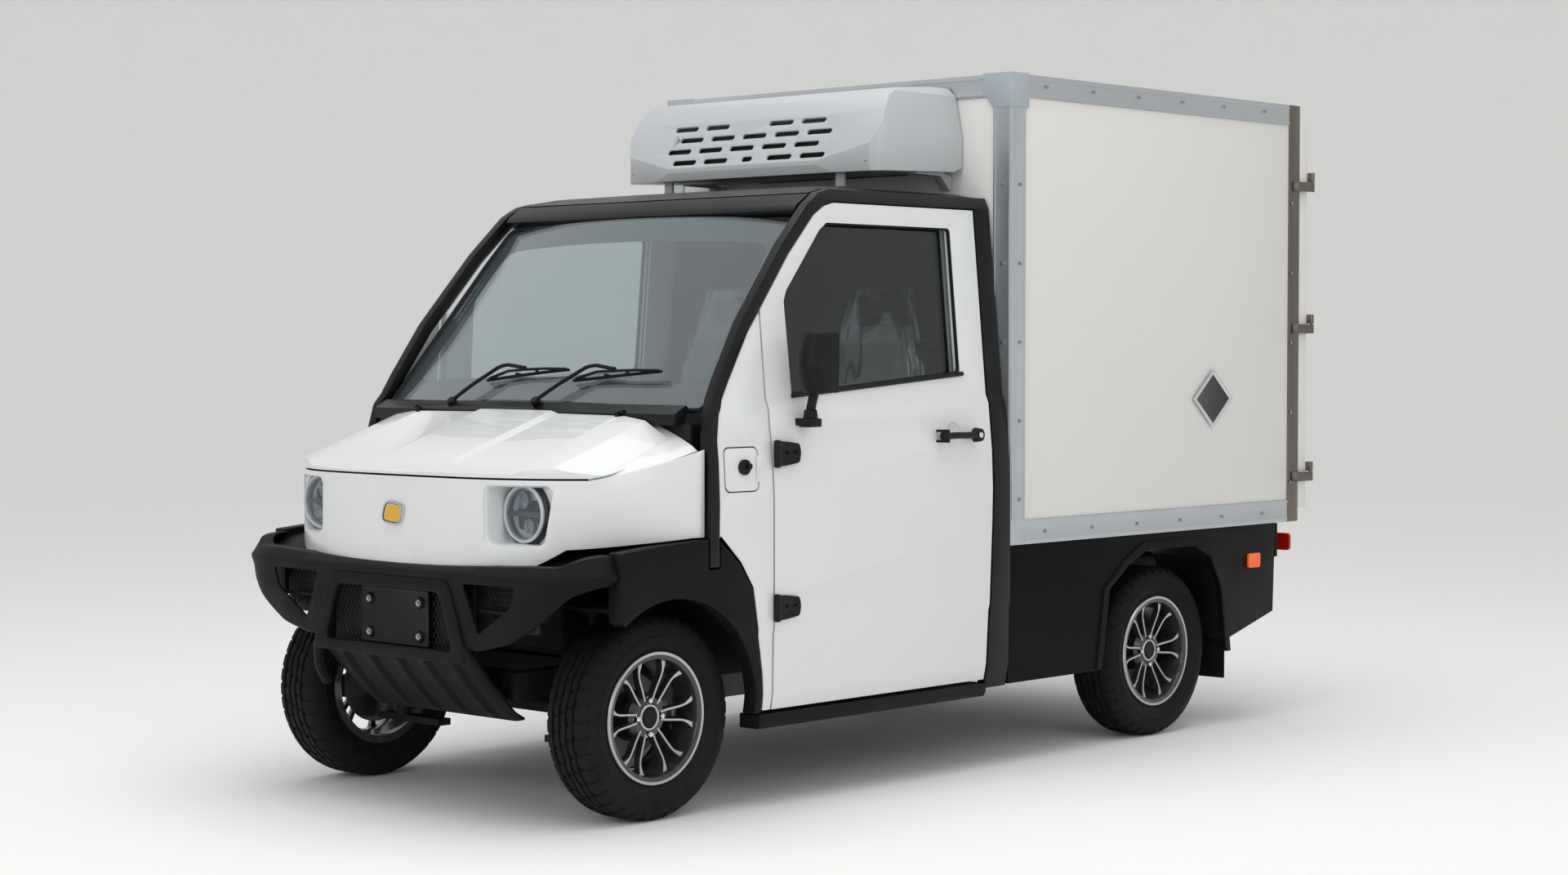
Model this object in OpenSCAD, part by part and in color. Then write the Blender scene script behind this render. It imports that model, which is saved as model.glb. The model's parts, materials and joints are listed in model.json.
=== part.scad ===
// Small electric delivery truck with a refrigerated cargo box.
// Millimetres, +Z up, the nose looks along -Y and the driver's left side is +X.
// Shapes are drawn from the front axle (y = 0) and the road (z = 0), then moved so that
// the origin is at the middle of the underside.

/* [Wheels] */
// Outside diameter of the tyres
tyre_d = 522; // [510:1:530]
// Section width of the tyres
tyre_w = 156; // [150:1:160]
// Wheelbase
wheelbase = 2124; // [2100:1:2150]
// Distance between the front tyre centres
front_track = 1090; // [1080:1:1100]
// Distance between the rear tyre centres
rear_track = 1150; // [1130:1:1160]

/* [Cargo box] */
// Width of the cargo box
box_w = 1380; // [1380:1:1390]
// Height of the box floor's underside above the road
box_z = 630; // [630:1:640]
// Height of the box itself
box_h = 1346; // [1300:1:1360]
// Length of the box body, without its doors
box_l = 1510; // [1490:1:1510]
// Thickness of the insulated walls
wall_t = 50; // [40:1:60]

/* [Cab] */
// Gap between body panels
panel_gap = 5; // [4:0.5:6]
// Thickness of the outer skins
skin = 4; // [3:0.5:5]
// Depth of the grooves in the tyre tread
tread_depth = 7; // [5:0.5:8]
// Number of lug nuts on a wheel
lugs = 4; // [4:1:5]

/* [Hidden] */
$fn = 48;

// Distance from the front axle to the middle of the whole truck
mid_y = 1272;
axle_z = tyre_d / 2;
tyre_r = tyre_d / 2;
rear_y = wheelbase;
kingpin_x = 470;
kingpin_r = 9;
fit = 0.05;
strut_x = 385;
spring_top = 690;
spring_low = 524;
box_x = box_w / 2;
box_y = 1337;
box_top = box_z + box_h;
box_end = box_y + box_l;
door_t = 48;
hinge_y = box_end + door_t + 8;
hinge_x = box_x + 12;
rim_r = 152;
flange_r = 169;
rack_y = 125;
rack_z = 236;
rack_r = 12;
wiper_x = [52, -300];
wiper_r = 7;
screen_tilt = 39.9;
wheel_tilt = 62;
handle_y = 1022;
handle_z = 951;
mirror_x = 712;
mirror_y = 466;
pedal_x = [205, 290];
pedal_y = 170;
pedal_z = 640;
fan_x = -210;
fan_z = 1800;
door_hinge_x = 701;
door_hinge_y = 352;
hood_pin_y = 71.5;
hood_pin_z = 1030;
hood_pin_r = 3;
// Gap left at welds and seams, so that each member is a solid of its own
weld = 0.5;

module truck() {
    translate([0, -mid_y, 0]) children();
}

module both() {
    children();
    mirror([1, 0, 0]) children();
}

module block(x0, x1, y0, y1, z0, z1) {
    translate([x0, y0, z0]) cube([x1 - x0, y1 - y0, z1 - z0]);
}

module rod_x(r, x0, x1) {
    translate([x0, 0, 0]) rotate([0, 90, 0]) cylinder(r = r, h = x1 - x0);
}

module rod_y(r, y0, y1) {
    translate([0, y0, 0]) rotate([-90, 0, 0]) cylinder(r = r, h = y1 - y0);
}

// Extrudes a side outline, given as [y, z] points, from x0 to x1
module side_plate(points, x0, x1) {
    translate([x0, 0, 0]) rotate([90, 0, 90]) linear_extrude(x1 - x0) polygon(points);
}

// Extrudes a cross-section, given as [x, z] points, from y0 to y1
module cross_plate(points, y0, y1) {
    translate([0, y1, 0]) rotate([90, 0, 0]) linear_extrude(y1 - y0) polygon(points);
}

// Extrudes a plan outline, given as [x, y] points, from z0 to z1
module plan_plate(points, z0, z1) {
    translate([0, 0, z0]) linear_extrude(z1 - z0) polygon(points);
}

// Points of an arc about c from angle a0 to a1
function arc(c, r, a0, a1, n) = [for (i = [0 : n]) let (a = a0 + (a1 - a0) * i / n)
    [c[0] + r * cos(a), c[1] + r * sin(a)]];

module rounded_rect(w, h, r) {
    square([w - 2 * r, h], center = true);
    square([w, h - 2 * r], center = true);
    for (sx = [-1, 1], sy = [-1, 1]) translate([sx * (w / 2 - r), sy * (h / 2 - r)]) circle(r = r);
}

// A closed tube along a helix, faceted, used only for the coil springs
module coil(r, wire, z0, z1, turns) {
    sides = 8;
    steps = 14 * turns;
    ring = [for (i = [0 : steps], k = [0 : sides - 1])
        let (a = 360 * turns * i / steps, b = 360 * k / sides, q = r + wire * cos(b))
        [q * cos(a), q * sin(a), z0 + wire + (z1 - z0 - 2 * wire) * i / steps + wire * sin(b)]];
    walls = [for (i = [0 : steps - 1], k = [0 : sides - 1])
        let (n = (k + 1) % sides)
        [i * sides + k, i * sides + n, (i + 1) * sides + n, (i + 1) * sides + k]];
    ends = [[for (k = [0 : sides - 1]) sides - 1 - k],
        [for (k = [0 : sides - 1]) steps * sides + k]];
    polyhedron(points = ring, faces = concat(walls, ends));
}

// Space in which the windscreen lies in the XZ plane
module screen_space() {
    translate([0, 100, 1030]) rotate([-screen_tilt, 0, 0]) children();
}

// Half-width of the cab's side skin at each height, as [x, z] points
function side_line(t) = [[676 - t, 230], [688 - t, 300], [690 - t, 452], [694 - t, 470],
    [694 - t, 800], [688 - t, 905], [672 - t, 1040], [662 - t, 1064], [612 - t, 1592],
    [598 - t, 1622]];

// Closed cross-section of one side between two depths below the skin
function side_band(t0, t1) = let (a = side_line(t0), b = side_line(t1), n = len(b))
    concat(a, [for (i = [0 : n - 1]) b[n - 1 - i]]);

module side_skin(t0, t1, y0, y1) {
    cross_plate(side_band(t0, t1), y0, y1);
}

// Plan curve of the nose, set back by t
function nose_y(x, t) = 130 + t - 475 * sqrt(1 - pow(min(1, x / (680 - t * 0.8)), 3.4));
function nose_half(t, back) = let (w = 680 - t * 0.8,
    reach = w * pow(1 - pow((130 + t - back) / 475, 2), 1 / 3.4))
    [for (i = [0 : 24]) let (x = reach * sin(90 * i / 24)) [x, i == 24 ? back : nose_y(x, t)]];
function nose_plan(t, back) = let (h = nose_half(t, back)) concat(h,
    [for (i = [0 : 23]) [-h[24 - i][0], h[24 - i][1]]]);

module nose_skin(t0, t1, z0, z1, back) {
    difference() {
        plan_plate(nose_plan(t0, back), z0, z1);
        plan_plate(nose_plan(t1, back), z0 - 1, z1 + 1);
    }
}

// Side outline of the black hoop round the windscreen and the door, inset by t
function hoop_line(t) = [[108 + t, 700], [112 + t, 960], [126 + t, 1030 - 0.1 * t],
    [180 + 0.9 * t, 1122 - 0.35 * t], [272 + 0.78 * t, 1262 - 0.62 * t],
    [445 + 0.72 * t, 1466 - 0.7 * t], [560 + 0.6 * t, 1578 - 0.8 * t],
    [612 + 0.4 * t, 1610 - 0.95 * t], [665, 1622 - t]];

// ---------------------------------------------------------------- chassis and suspension

// Bracket that holds the top of a front strut
module tower() {
    block(322, 334, -60, 60, 370 + weld, 710);
    difference() {
        block(334 + weld, 440, -60, 60, 690, 710);
        translate([strut_x, 0, 680]) cylinder(r = 10 + fit, h = 40);
    }
}

// Hole through a rail for the bolt of a body mount
module mount_hole(y) {
    translate([295, y, 280]) cylinder(r = 9, h = 240);
}

// Main rail of one side: low under the cab, stepped up behind it
module side_rail() {
    difference() {
        block(270, 320, -210, 1440, 300, 370);
        for (y = [300, 900]) mount_hole(y);
    }
    block(270, 320, 1380, 1440 - weld, 370 + weld, 510);
    difference() {
        block(270, 320, 1440, 2800, 440, 510);
        mount_hole(2600);
    }
    for (y = [1500, 1900, 2350, 2740]) block(270, 320, y, y + 50, 510 + weld, 570 - weld);
}

module chassis_frame() {
    color("#2b2d30") truck() {
        both() {
            side_rail();
            tower();
            // Shelf that the rear damper hangs from and the ears of the trailing arm
            block(320 + weld, 357, 2200, 2250, 510, 530);
            for (x = [176, 232]) block(x, x + 12, 1520, 1580, 222, 440 - weld);
        }
        for (y = [-210, 95, 560, 1180])
            block(-270 + weld, 270 - weld, y, y + 50, 310, 370);
        for (y = [1500, 2450, 2750]) block(-270 + weld, 270 - weld, y, y + 50, 440, 510);
        for (y = [1500, 1900, 2350, 2740]) block(-640, 640, y, y + 50, 570, 630);
        // Housing of the steering rack on two brackets
        translate([0, rack_y, rack_z]) difference() {
            rod_x(22, -178, 178);
            rod_x(rack_r + fit, -200, 200);
        }
        for (x = [-120, 90]) block(x, x + 30, 112, 138, rack_z + 22 + weld, 310 - weld);
        // Rear damper tubes, hung from the box bearers
        both() difference() {
            translate([380, 2225, 400]) cylinder(r = 22, h = 130);
            translate([380, 2225, 390]) cylinder(r = 8 + fit, h = 150);
        }
    }
}

module battery_pack() {
    color("#3c4246") truck() {
        block(-255, 255, 480, 1360, 226, 296);
        for (y = [560, 760, 960, 1160, 1300]) block(-262, 262, y, y + 24, 222, 226);
        both() block(255, 263, 500, 1340, 284, 296);
        block(-60, 60, 462, 480, 240, 286);
    }
}

module rear_axle() {
    color("#4b4f52") truck() {
        translate([0, rear_y, axle_z]) {
            rod_x(32, -470, 470);
            rod_x(104, -95, 95);
            rod_x(118, -12, 12);
            both() {
                rod_x(48, 150, 210);
                rod_x(14, 463, 608);
                rod_x(96, 452, 463);
            }
        }
        translate([40, rear_y, axle_z]) rod_y(82, -330, -60);
        both() {
            translate([295, rear_y, 290]) cylinder(r = 52, h = 10);
            block(262, 328, rear_y - 30, rear_y + 30, 225, 290);
            block(195, 225, 1556, rear_y - 20, 244, 284);
            translate([380, 2225, 250]) cylinder(r = 8, h = 210);
            block(366, 394, rear_y, 2240, 232, 262);
        }
    }
}

module rear_springs() {
    color("#c8342a") truck() both() translate([295, rear_y, 0]) coil(36, 6, 300, 440, 5);
}

module strut_side() {
    difference() {
        union() {
            translate([strut_x, 0, 165]) cylinder(r = 22, h = 351);
            translate([strut_x, 0, 516]) cylinder(r = 46, h = 8);
            translate([strut_x, 0, 524]) cylinder(r = 10, h = 212);
            block(strut_x, kingpin_x, -16, 16, 338, 356);
            block(strut_x, kingpin_x, -16, 16, 165, 183);
            translate([kingpin_x, 0, 338]) cylinder(r = 17, h = 18);
            translate([kingpin_x, 0, 165]) cylinder(r = 17, h = 18);
            translate([kingpin_x, 0, 165]) cylinder(r = kingpin_r, h = 191);
            block(215, strut_x, -22, 22, 165, 183);
        }
        translate([240, 0, 160]) cylinder(r = 8, h = 40);
    }
}

module strut_left() {
    color("#3a3c3e") truck() strut_side();
}

module strut_right() {
    color("#3a3c3e") truck() mirror([1, 0, 0]) strut_side();
}

module spring_left() {
    color("#c8342a") truck() translate([strut_x, 0, 0]) coil(34, 6, spring_low, spring_top, 5);
}

module spring_right() {
    color("#c8342a") truck() translate([-strut_x, 0, 0]) coil(34, 6, spring_low, spring_top, 5);
}

module knuckle_side() {
    difference() {
        union() {
            translate([kingpin_x, 0, 184]) cylinder(r = 22, h = 153);
            translate([0, 0, axle_z]) rod_x(30, kingpin_x + 10, 498);
            translate([0, 0, axle_z]) rod_x(14, 498, 580);
            block(446, 466, 10, 132, 216, 232);
            translate([456, 132, 216]) cylinder(r = 12, h = 16);
            block(484, 498, -112, -20, axle_z - 30, axle_z + 30);
            block(484, 522, -130, -100, axle_z - 30, axle_z + 30);
        }
        translate([kingpin_x, 0, 180]) cylinder(r = kingpin_r + fit, h = 160);
        block(501, 517, -109, -99, axle_z - 31, axle_z + 31);
    }
}

module knuckle_left() {
    color("#55595c") truck() knuckle_side();
}

module knuckle_right() {
    color("#55595c") truck() mirror([1, 0, 0]) knuckle_side();
}

module steering_rack() {
    color("#8c9094") truck() translate([0, rack_y, rack_z]) {
        rod_x(rack_r, -235, 235);
        both() {
            rod_x(17, 252, 272);
            rod_x(8, 230, 424);
            translate([424, 0, -9]) cylinder(r = 11, h = 18);
        }
    }
}

// ---------------------------------------------------------------- wheels

// Section of the tyre: [distance along the axle, radius]
function tyre_section() = let (h = tyre_w / 2, r = tyre_r, g = tread_depth) concat(
    [[-62, rim_r], [-62, flange_r + 1], [-h, r - 62], [-h + 1, r - 40], [-h + 7, r - 18],
    [-h + 17, r - 5], [-50, r - 1], [-40, r]],
    [for (c = [-34, -11, 11, 34]) each [[c - 4, r], [c - 4, r - g], [c + 4, r - g], [c + 4, r]]],
    [[40, r], [50, r - 1], [h - 17, r - 5], [h - 7, r - 18], [h - 1, r - 40], [h, r - 62],
    [62, flange_r + 1], [62, rim_r], [48, rim_r], [52, flange_r + 8], [60, r - 62], [58, r - 30],
    [46, r - 16], [-46, r - 16], [-58, r - 30], [-60, r - 62], [-52, flange_r + 8], [-48, rim_r]]);

// Turns a section about the wheel's own axle, which lies along X
module turned(points) {
    rotate([0, 90, 0]) rotate_extrude($fn = 96) polygon([for (p = points) [p[1], p[0]]]);
}

module tyre() {
    turned(tyre_section());
}

function barrel_section() = [[-62, rim_r], [-62, flange_r], [-68, flange_r], [-68, rim_r - 5],
    [-40, rim_r - 5], [-20, rim_r - 18], [20, rim_r - 18], [40, rim_r - 7], [68, rim_r - 5],
    [68, flange_r], [62, flange_r], [62, rim_r], [34, rim_r], [14, rim_r - 12], [-14, rim_r - 12],
    [-34, rim_r]];

// One of twelve thin spokes: it leaves the hub beside its twin and flares to the rim
module spoke(side) {
    rotate([0, 0, side * 5.5]) {
        polygon([[-4, 30], [4, 30], [5, 90], [-4, 90]]);
        polygon([[-4, 88], [5, 88], [5 + side * 9, 148], [-5 + side * 9, 148]]);
    }
}

module rim() {
    turned(barrel_section());
    difference() {
        union() {
            translate([22, 0, 0]) rotate([90, 0, 90]) linear_extrude(22) intersection() {
                circle(r = rim_r - 5.5, $fn = 96);
                for (k = [0 : 5]) rotate([0, 0, 60 * k + 15]) {
                    spoke(1);
                    spoke(-1);
                }
            }
            turned([[36, 0], [36, 58], [12, 66], [12, 0]]);
        }
        rod_x(14 + fit, 0, 60);
        for (k = [0 : lugs - 1]) rotate([90 + 360 * k / lugs, 0, 0])
            translate([0, 0, 40]) rod_x(10, 26, 60);
    }
    // Centre cap, lug nuts and brake disc are separate solids on the same hub
    turned([[37, 0], [37, 24], [50, 22], [52, 18], [52, 0]]);
    for (k = [0 : lugs - 1]) rotate([90 + 360 * k / lugs, 0, 0]) translate([0, 0, 40]) {
        rod_x(8.5, 26, 44, $fn = 6);
    }
    turned([[-42, 32], [-42, 106], [-30, 106], [-30, 62], [12, 62], [12, 32]]);
}

module wheel_at(x, y) {
    truck() translate([x, y, axle_z]) children();
}

module tyre_front_left() {
    color("#17181a") wheel_at(front_track / 2, 0) tyre();
}

module tyre_front_right() {
    color("#17181a") wheel_at(-front_track / 2, 0) tyre();
}

module tyre_rear_left() {
    color("#17181a") wheel_at(rear_track / 2, rear_y) tyre();
}

module tyre_rear_right() {
    color("#17181a") wheel_at(-rear_track / 2, rear_y) tyre();
}

module rim_front_left() {
    color("#8f9296") wheel_at(front_track / 2, 0) rim();
}

module rim_front_right() {
    color("#8f9296") wheel_at(-front_track / 2, 0) mirror([1, 0, 0]) rim();
}

module rim_rear_left() {
    color("#8f9296") wheel_at(rear_track / 2, rear_y) rim();
}

module rim_rear_right() {
    color("#8f9296") wheel_at(-rear_track / 2, rear_y) mirror([1, 0, 0]) rim();
}

// ---------------------------------------------------------------- cab structure

// Floor, firewall and the boxes over the front wheels
module cab_floor() {
    block(-325, 325, 108, 1302, 376, 388);
    block(-325, 325, 108, 120, 388 + weld, 1000);
    both() {
        block(325 + weld, 632, 330 + weld, 1302, 376, 388);
        block(325 + weld, 337, 108, 318 - weld, 376, 628 - weld);
        block(325 + weld, 640, 318, 330, 376, 640);
        block(325 + weld, 640, 108, 318 - weld, 628, 640);
        block(325 + weld, 620, 108, 120, 640 + weld, 1000);
        block(606, 632, 330 + weld, 1290 - weld, 388 + weld, 470);
    }
}

// Rear wall with its window, in four panels
module rear_wall() {
    difference() {
        cross_plate([[-600, 388 + weld], [600, 388 + weld], [606, 1040], [570, 1570],
            [-570, 1570], [-606, 1040]], 1290, 1302);
        block(-420, 420, 1280, 1310, 1180, 1480);
        for (z = [1180, 1480]) block(-620, 620, 1280, 1310, z - weld, z);
    }
    block(-430, 430, 1303, 1309, 1170, 1490);
}

// Plinth under the seats
module seat_plinth() {
    block(-560, 560, 790, 802, 388 + weld, 588 - weld);
    block(-560, 560, 790, 1290 - weld, 588, 600);
    both() block(548, 560, 802 + weld, 1290 - weld, 388 + weld, 588 - weld);
}

// Ears that carry the pin of a pedal
module pedal_ears(x) {
    for (side = [-1, 1]) difference() {
        block(x + side * 16 - 3, x + side * 16 + 3, 120 + weld, pedal_y + 14,
            pedal_z - 14, pedal_z + 14);
        translate([x, pedal_y, pedal_z]) rod_x(4 + fit, -30, 30);
    }
}

module cab_shell() {
    color("#232427") truck() {
        cab_floor();
        rear_wall();
        seat_plinth();
        for (x = pedal_x) pedal_ears(x);
        // Tray under the hood with the auxiliary battery, washer bottle and heater
        block(-300, 300, -230, 108 - weld, 600, 606);
        block(-270, -90, -150, -10, 606 + weld, 790);
        translate([120, -120, 606 + weld]) cylinder(r = 55, h = 150);
        translate([120, -120, 756 + 2 * weld]) cylinder(r = 26, h = 20);
        block(10, 260, 10, 100, 606 + weld, 780);
    }
}

module hoop() {
    intersection() {
        side_skin(-2, 26, 60, 1336);
        side_plate(concat([[108, 640], [108, 700]], hoop_line(0), [[1330, 1622], [1330, 230],
            [1234, 230], [1244, 457], [1256, 700], [1264, 1030], [1264, 1588]],
            [for (i = [0 : 8]) hoop_line(34)[8 - i]], [[142, 640]]), 500, 720);
    }
}

module cab_frame() {
    color("#1d1e20") truck() {
        both() hoop();
        // Header over the windscreen, rear header and the cowl below the windscreen
        side_plate([[548, 1562], [560, 1578], [606, 1608], [640, 1606], [600, 1570], [566, 1546]],
            -576, 576);
        block(-574, 574, 1303, 1330, 1560, 1608);
        difference() {
            side_plate([[74, 998], [74, 1026], [100, 1040], [119, 1049], [128, 1040],
                [112, 1004], [108, 1001]], -600, 600);
            for (x = wiper_x) screen_space() translate([x, 40, 14]) rotate([90, 0, 0])
                cylinder(r = wiper_r + fit, h = 80);
        }
        both() block(574, 640, 1303, 1330, 388, 500);
        // Ears in front of the cowl that carry the pins of the hood
        both() difference() {
            union() {
                translate([0, hood_pin_y, hood_pin_z]) rod_x(6.5, 409, 419);
                block(409, 419, hood_pin_y, 82, hood_pin_z - 6, hood_pin_z + 4);
            }
            translate([0, hood_pin_y, hood_pin_z]) rod_x(hood_pin_r + fit, 400, 430);
        }
    }
}

module cab_roof() {
    color("#26272a") truck() intersection() {
        side_plate([[610, 1611], [700, 1632], [830, 1646], [1330, 1646], [1330, 1612],
            [760, 1612], [645, 1606]], -572, 572);
        difference() {
            cross_plate([[-570, 1600], [-570, 1622], [-500, 1636], [-300, 1643], [300, 1643],
                [500, 1636], [570, 1622], [570, 1600]], 500, 1400);
            for (i = [-2 : 2]) block(i * 170 - 22, i * 170 + 22, 900, 1250, 1640, 1660);
        }
    }
}

// Side outline of the front wing, between the bumper line and the hood seam
function wing_line(g) = [[-420, 640 + g], [-420, 866 - g], [-186, 866 - g], [104, 938 - g],
    [104, 716 + g], [65, 716 + g], [-87, 706 + g], [-230, 694 + g], [-290, 640 + g]];

module front_fascia() {
    color("#f3f4f5") truck() difference() {
        intersection() {
            nose_skin(0, skin + 2, 630, 940, 104);
            side_plate(wing_line(0), -700, 700);
        }
        both() cross_plate([[326, 716], [342, 702], [470, 700], [484, 712], [502, 838],
            [490, 853], [338, 853], [324, 838]], -420, -140);
        rotate([90, 0, 0]) translate([0, 771, 300]) cylinder(r = 5, h = 100);
    }
}

// Panel between the wheel arch, the hood and the door
module side_fender() {
    intersection() {
        side_skin(0, skin, 100, 360);
        side_plate([[144, 712], [148, 960], [162, 1027], [213, 1108], [301, 1239], [345, 1286],
            [345, 256], [316, 256], [309, 353], [270, 580], [224, 648], [150, 718]], 560, 720);
    }
}

module side_fenders() {
    color("#f3f4f5") truck() {
        mirror([1, 0, 0]) side_fender();
        // The left panel has the opening of the charging flap
        difference() {
            side_fender();
            translate([640, 230, 884]) rotate([90, 0, 90]) linear_extrude(100)
                rounded_rect(127, 116, 18);
        }
    }
}

// Round space over a front wheel, seen from the side
module arch_opening(r, y = -12, z = 272) {
    translate([0, y, z]) rotate([0, 90, 0]) cylinder(r = r, h = 800, $fn = 96);
}

module arch_trims() {
    color("#2a2b2d") truck() both() {
        // Flare over the front wheel
        difference() {
            intersection() {
                side_skin(-2, 42, -204, 330);
                side_plate([[-204, 520], [-204, 692], [-87, 702], [65, 711], [103, 711],
                    [103, 634], [148, 634], [148, 704], [219, 642], [265, 577], [304, 352],
                    [311, 250], [286, 250], [200, 400], [0, 400]], 560, 720);
            }
            arch_opening(296);
            block(0, 800, -310, 284, 100, 272);
        }
        // Liner behind the flare, wide enough for the wheel at full lock
        difference() {
            intersection() {
                arch_opening(336, 10, 280);
                block(455, 645, -190, 300, 400, 620);
            }
            arch_opening(330, 10, 280);
        }
        // Sill under the door
        cross_plate([[612, 208], [680, 208], [688, 224], [688, 246], [612, 246]], 300, 1232);
    }
}

// ---------------------------------------------------------------- nose

// Plan curve of the bumper, set back by t
function bumper_y(x, t) = 92 + t - 468 * sqrt(1 - pow(x / (690 - t), 6));
function bumper_plan(t) = let (reach = 660 - t) concat(
    [for (i = [0 : 24]) let (x = reach * sin(90 * i / 24)) [x, bumper_y(x, t)]], [[reach, 60],
    [-reach, 60]], [for (i = [0 : 23]) let (x = reach * cos(90 * i / 24)) [-x, bumper_y(x, t)]]);

module bumper_band(t0, t1, z0, z1) {
    difference() {
        plan_plate(bumper_plan(t0), z0, z1);
        plan_plate(bumper_plan(t1), z0 - 1, z1 + 1);
        block(-800, 800, -210, 100, z0 - 2, z1 + 2);
    }
}

module bumper() {
    color("#2c2d2f") truck() {
        difference() {
            union() {
                bumper_band(0, 26, 560, 634);
                intersection() {
                    bumper_band(4, 30, 300, 560);
                    cross_plate([[-640, 560], [-600, 500], [-470, 452], [-400, 300], [400, 300],
                        [470, 452], [600, 500], [640, 560]], -400, -200);
                }
                // Skid plate under the bumper
                side_plate([[-372, 330], [-346, 300], [-140, 224], [-140, 236], [-340, 312],
                    [-346, 330]], -330, 330);
            }
            // Centre opening with the plate carrier and the two side vents
            cross_plate([[-214, 600], [214, 600], [250, 580], [190, 440], [-190, 440],
                [-250, 580]], -420, -320);
            both() cross_plate([[300, 596], [560, 596], [540, 520], [350, 486]], -420, -200);
        }
        // Plate carrier on two cross bars
        block(-125, 125, -346, -338, 446, 556);
        for (z = [470, 522]) block(-226, 226, -342, -330, z, z + 12);
        both() block(300, 560, -300, -292, 530, 538);
    }
}

module hardware() {
    color("#b9bcc0") truck() {
        // Four bolts of the number plate
        for (x = [-100, 100], z = [458, 544]) translate([x, -346, z]) {
            rotate([90, 0, 0]) cylinder(r = 8, h = 5);
            rotate([90, 0, 0]) cylinder(r = 5, h = 9, $fn = 6);
        }
        both() {
            // Rivets along the rails of the box
            for (y = [1500 : 228 : 2700]) {
                translate([box_x + 2, y, box_top - 30]) rod_x(5, 0, 2.5);
                translate([box_x + 2, y, box_z + 34]) rod_x(5, 0, 2.5);
            }
            for (z = [760 : 225 : 1830]) {
                translate([box_x + 2, box_y + 42, z]) rod_x(5, 0, 2.5);
                translate([box_x + 2, box_end - 50, z]) rod_x(5, 0, 2.5);
                translate([box_x - 30, box_y - 2, z]) rod_y(5, -2.5, 0);
            }
        }
    }
}

module trim_plates() {
    color("#c9ccd0") truck() {
        // Plain oval badge on the nose
        translate([0, nose_y(0, 0), 771]) rotate([90, 0, 0]) {
            cylinder(r = 34, h = 6);
            cylinder(r = 27, h = 9);
            translate([0, 0, -12]) cylinder(r = 5 - fit, h = 12);
        }
        // Diamond plates on both sides of the box
        both() translate([box_x, 2350, 1035]) rotate([90, 0, 90]) {
            linear_extrude(3) polygon([[-107, 0], [0, -92], [107, 0], [0, 92]]);
            linear_extrude(5) difference() {
                polygon([[-104, 0], [0, -89], [104, 0], [0, 89]]);
                polygon([[-90, 0], [0, -77], [90, 0], [0, 77]]);
            }
        }
    }
}

module lamps() {
    color("#2f3236") truck() both() {
        // Headlamp in its recess
        translate([406, -222, 779]) rotate([90, 0, 0]) {
            difference() {
                cylinder(r = 72, h = 68);
                translate([0, 0, 50]) cylinder(r = 62, h = 30);
            }
            translate([0, 0, 50]) for (z = [-30, 30]) translate([0, z, 0]) cylinder(r = 20, h = 10);
            translate([-62, -8, 50]) cube([124, 16, 12]);
        }
        intersection() {
            cross_plate([[318, 694], [488, 694], [510, 858], [316, 858]], -420, -120);
            nose_skin(34, 38, 694, 858, 60);
        }
        // Side marker and tail lamp
        translate([684, 2594, 516]) rotate([90, 0, 90]) linear_extrude(8) rounded_rect(62, 44, 8);
        translate([560, 2836, 560]) rotate([-90, 0, 0]) linear_extrude(22) rounded_rect(200, 60, 12);
    }
}

module windscreen() {
    screen_r = 5200;
    color("#b7c3cb", 0.5) truck() screen_space() intersection() {
        linear_extrude(688) polygon(concat(arc([0, screen_r], screen_r, 262, 278, 32),
            arc([0, screen_r], screen_r - 6, 278, 262, 32)));
        rotate([90, 0, 0]) translate([0, 0, -100]) linear_extrude(200)
            polygon([[-630, 32], [630, 32], [586, 560], [568, 688], [-568, 688], [-586, 560]]);
    }
}

// The closed form of the hood, set in by t
module hood_form(t) {
    intersection() {
        plan_plate(nose_plan(t + 2, 70), 700, 1100);
        side_plate([[-420, 800], [-420, 872 - t], [-300, 880 - t], [-262, 914 - t],
            [-100, 978 - t], [70, 1033 - t], [70, 800]], -700, 700);
        translate([0, -262, 903 - t]) rotate([19.4, 0, 0]) cross_plate([[-700, -260], [-640, -84],
            [-566, -44], [-500, -10], [-420, 0], [-170, 2], [-140, 9], [140, 9], [170, 2],
            [420, 0], [500, -10], [566, -44], [640, -84], [700, -260]], -260, 480);
    }
}

module hood() {
    color("#f3f4f5") truck() difference() {
        hood_form(0);
        intersection() {
            hood_form(10);
            block(-700, 700, -420, 58, 700, 1100);
        }
        // Everything below the seam with the fascia
        side_plate([[-430, 700], [-430, 871], [-186, 871], [110, 945], [110, 700]], -720, 720);
    }
    // Leaves at the rear edge with the pins that the hood lifts on
    color("#f3f4f5") truck() both() {
        block(394, 406, 62, hood_pin_y, 1012, hood_pin_z);
        translate([0, hood_pin_y, hood_pin_z]) rod_x(hood_pin_r, 396, 421);
    }
}

module wiper_side(x) {
    screen_space() {
        translate([x, -12, 14]) rotate([90, 0, 0]) cylinder(r = 14, h = 16);
        translate([x, 14, 14]) rotate([90, 0, 0]) cylinder(r = wiper_r, h = 30);
        translate([x, -20, 14]) rotate([0, 72, 0]) {
            translate([-7, -6, 0]) cube([14, 8, 330]);
            translate([-3, 0, 120]) cube([6, 6, 300]);
            translate([-4, -4, 110]) cube([8, 5, 320]);
        }
    }
}

module wiper_left() {
    color("#17181a") truck() wiper_side(wiper_x[0]);
}

module wiper_right() {
    color("#17181a") truck() wiper_side(wiper_x[1]);
}

// ---------------------------------------------------------------- cab interior

// Space in which the steering wheel turns about Z
module column_space() {
    translate([300, 470, 880]) rotate([-wheel_tilt, 0, 0]) children();
}

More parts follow.
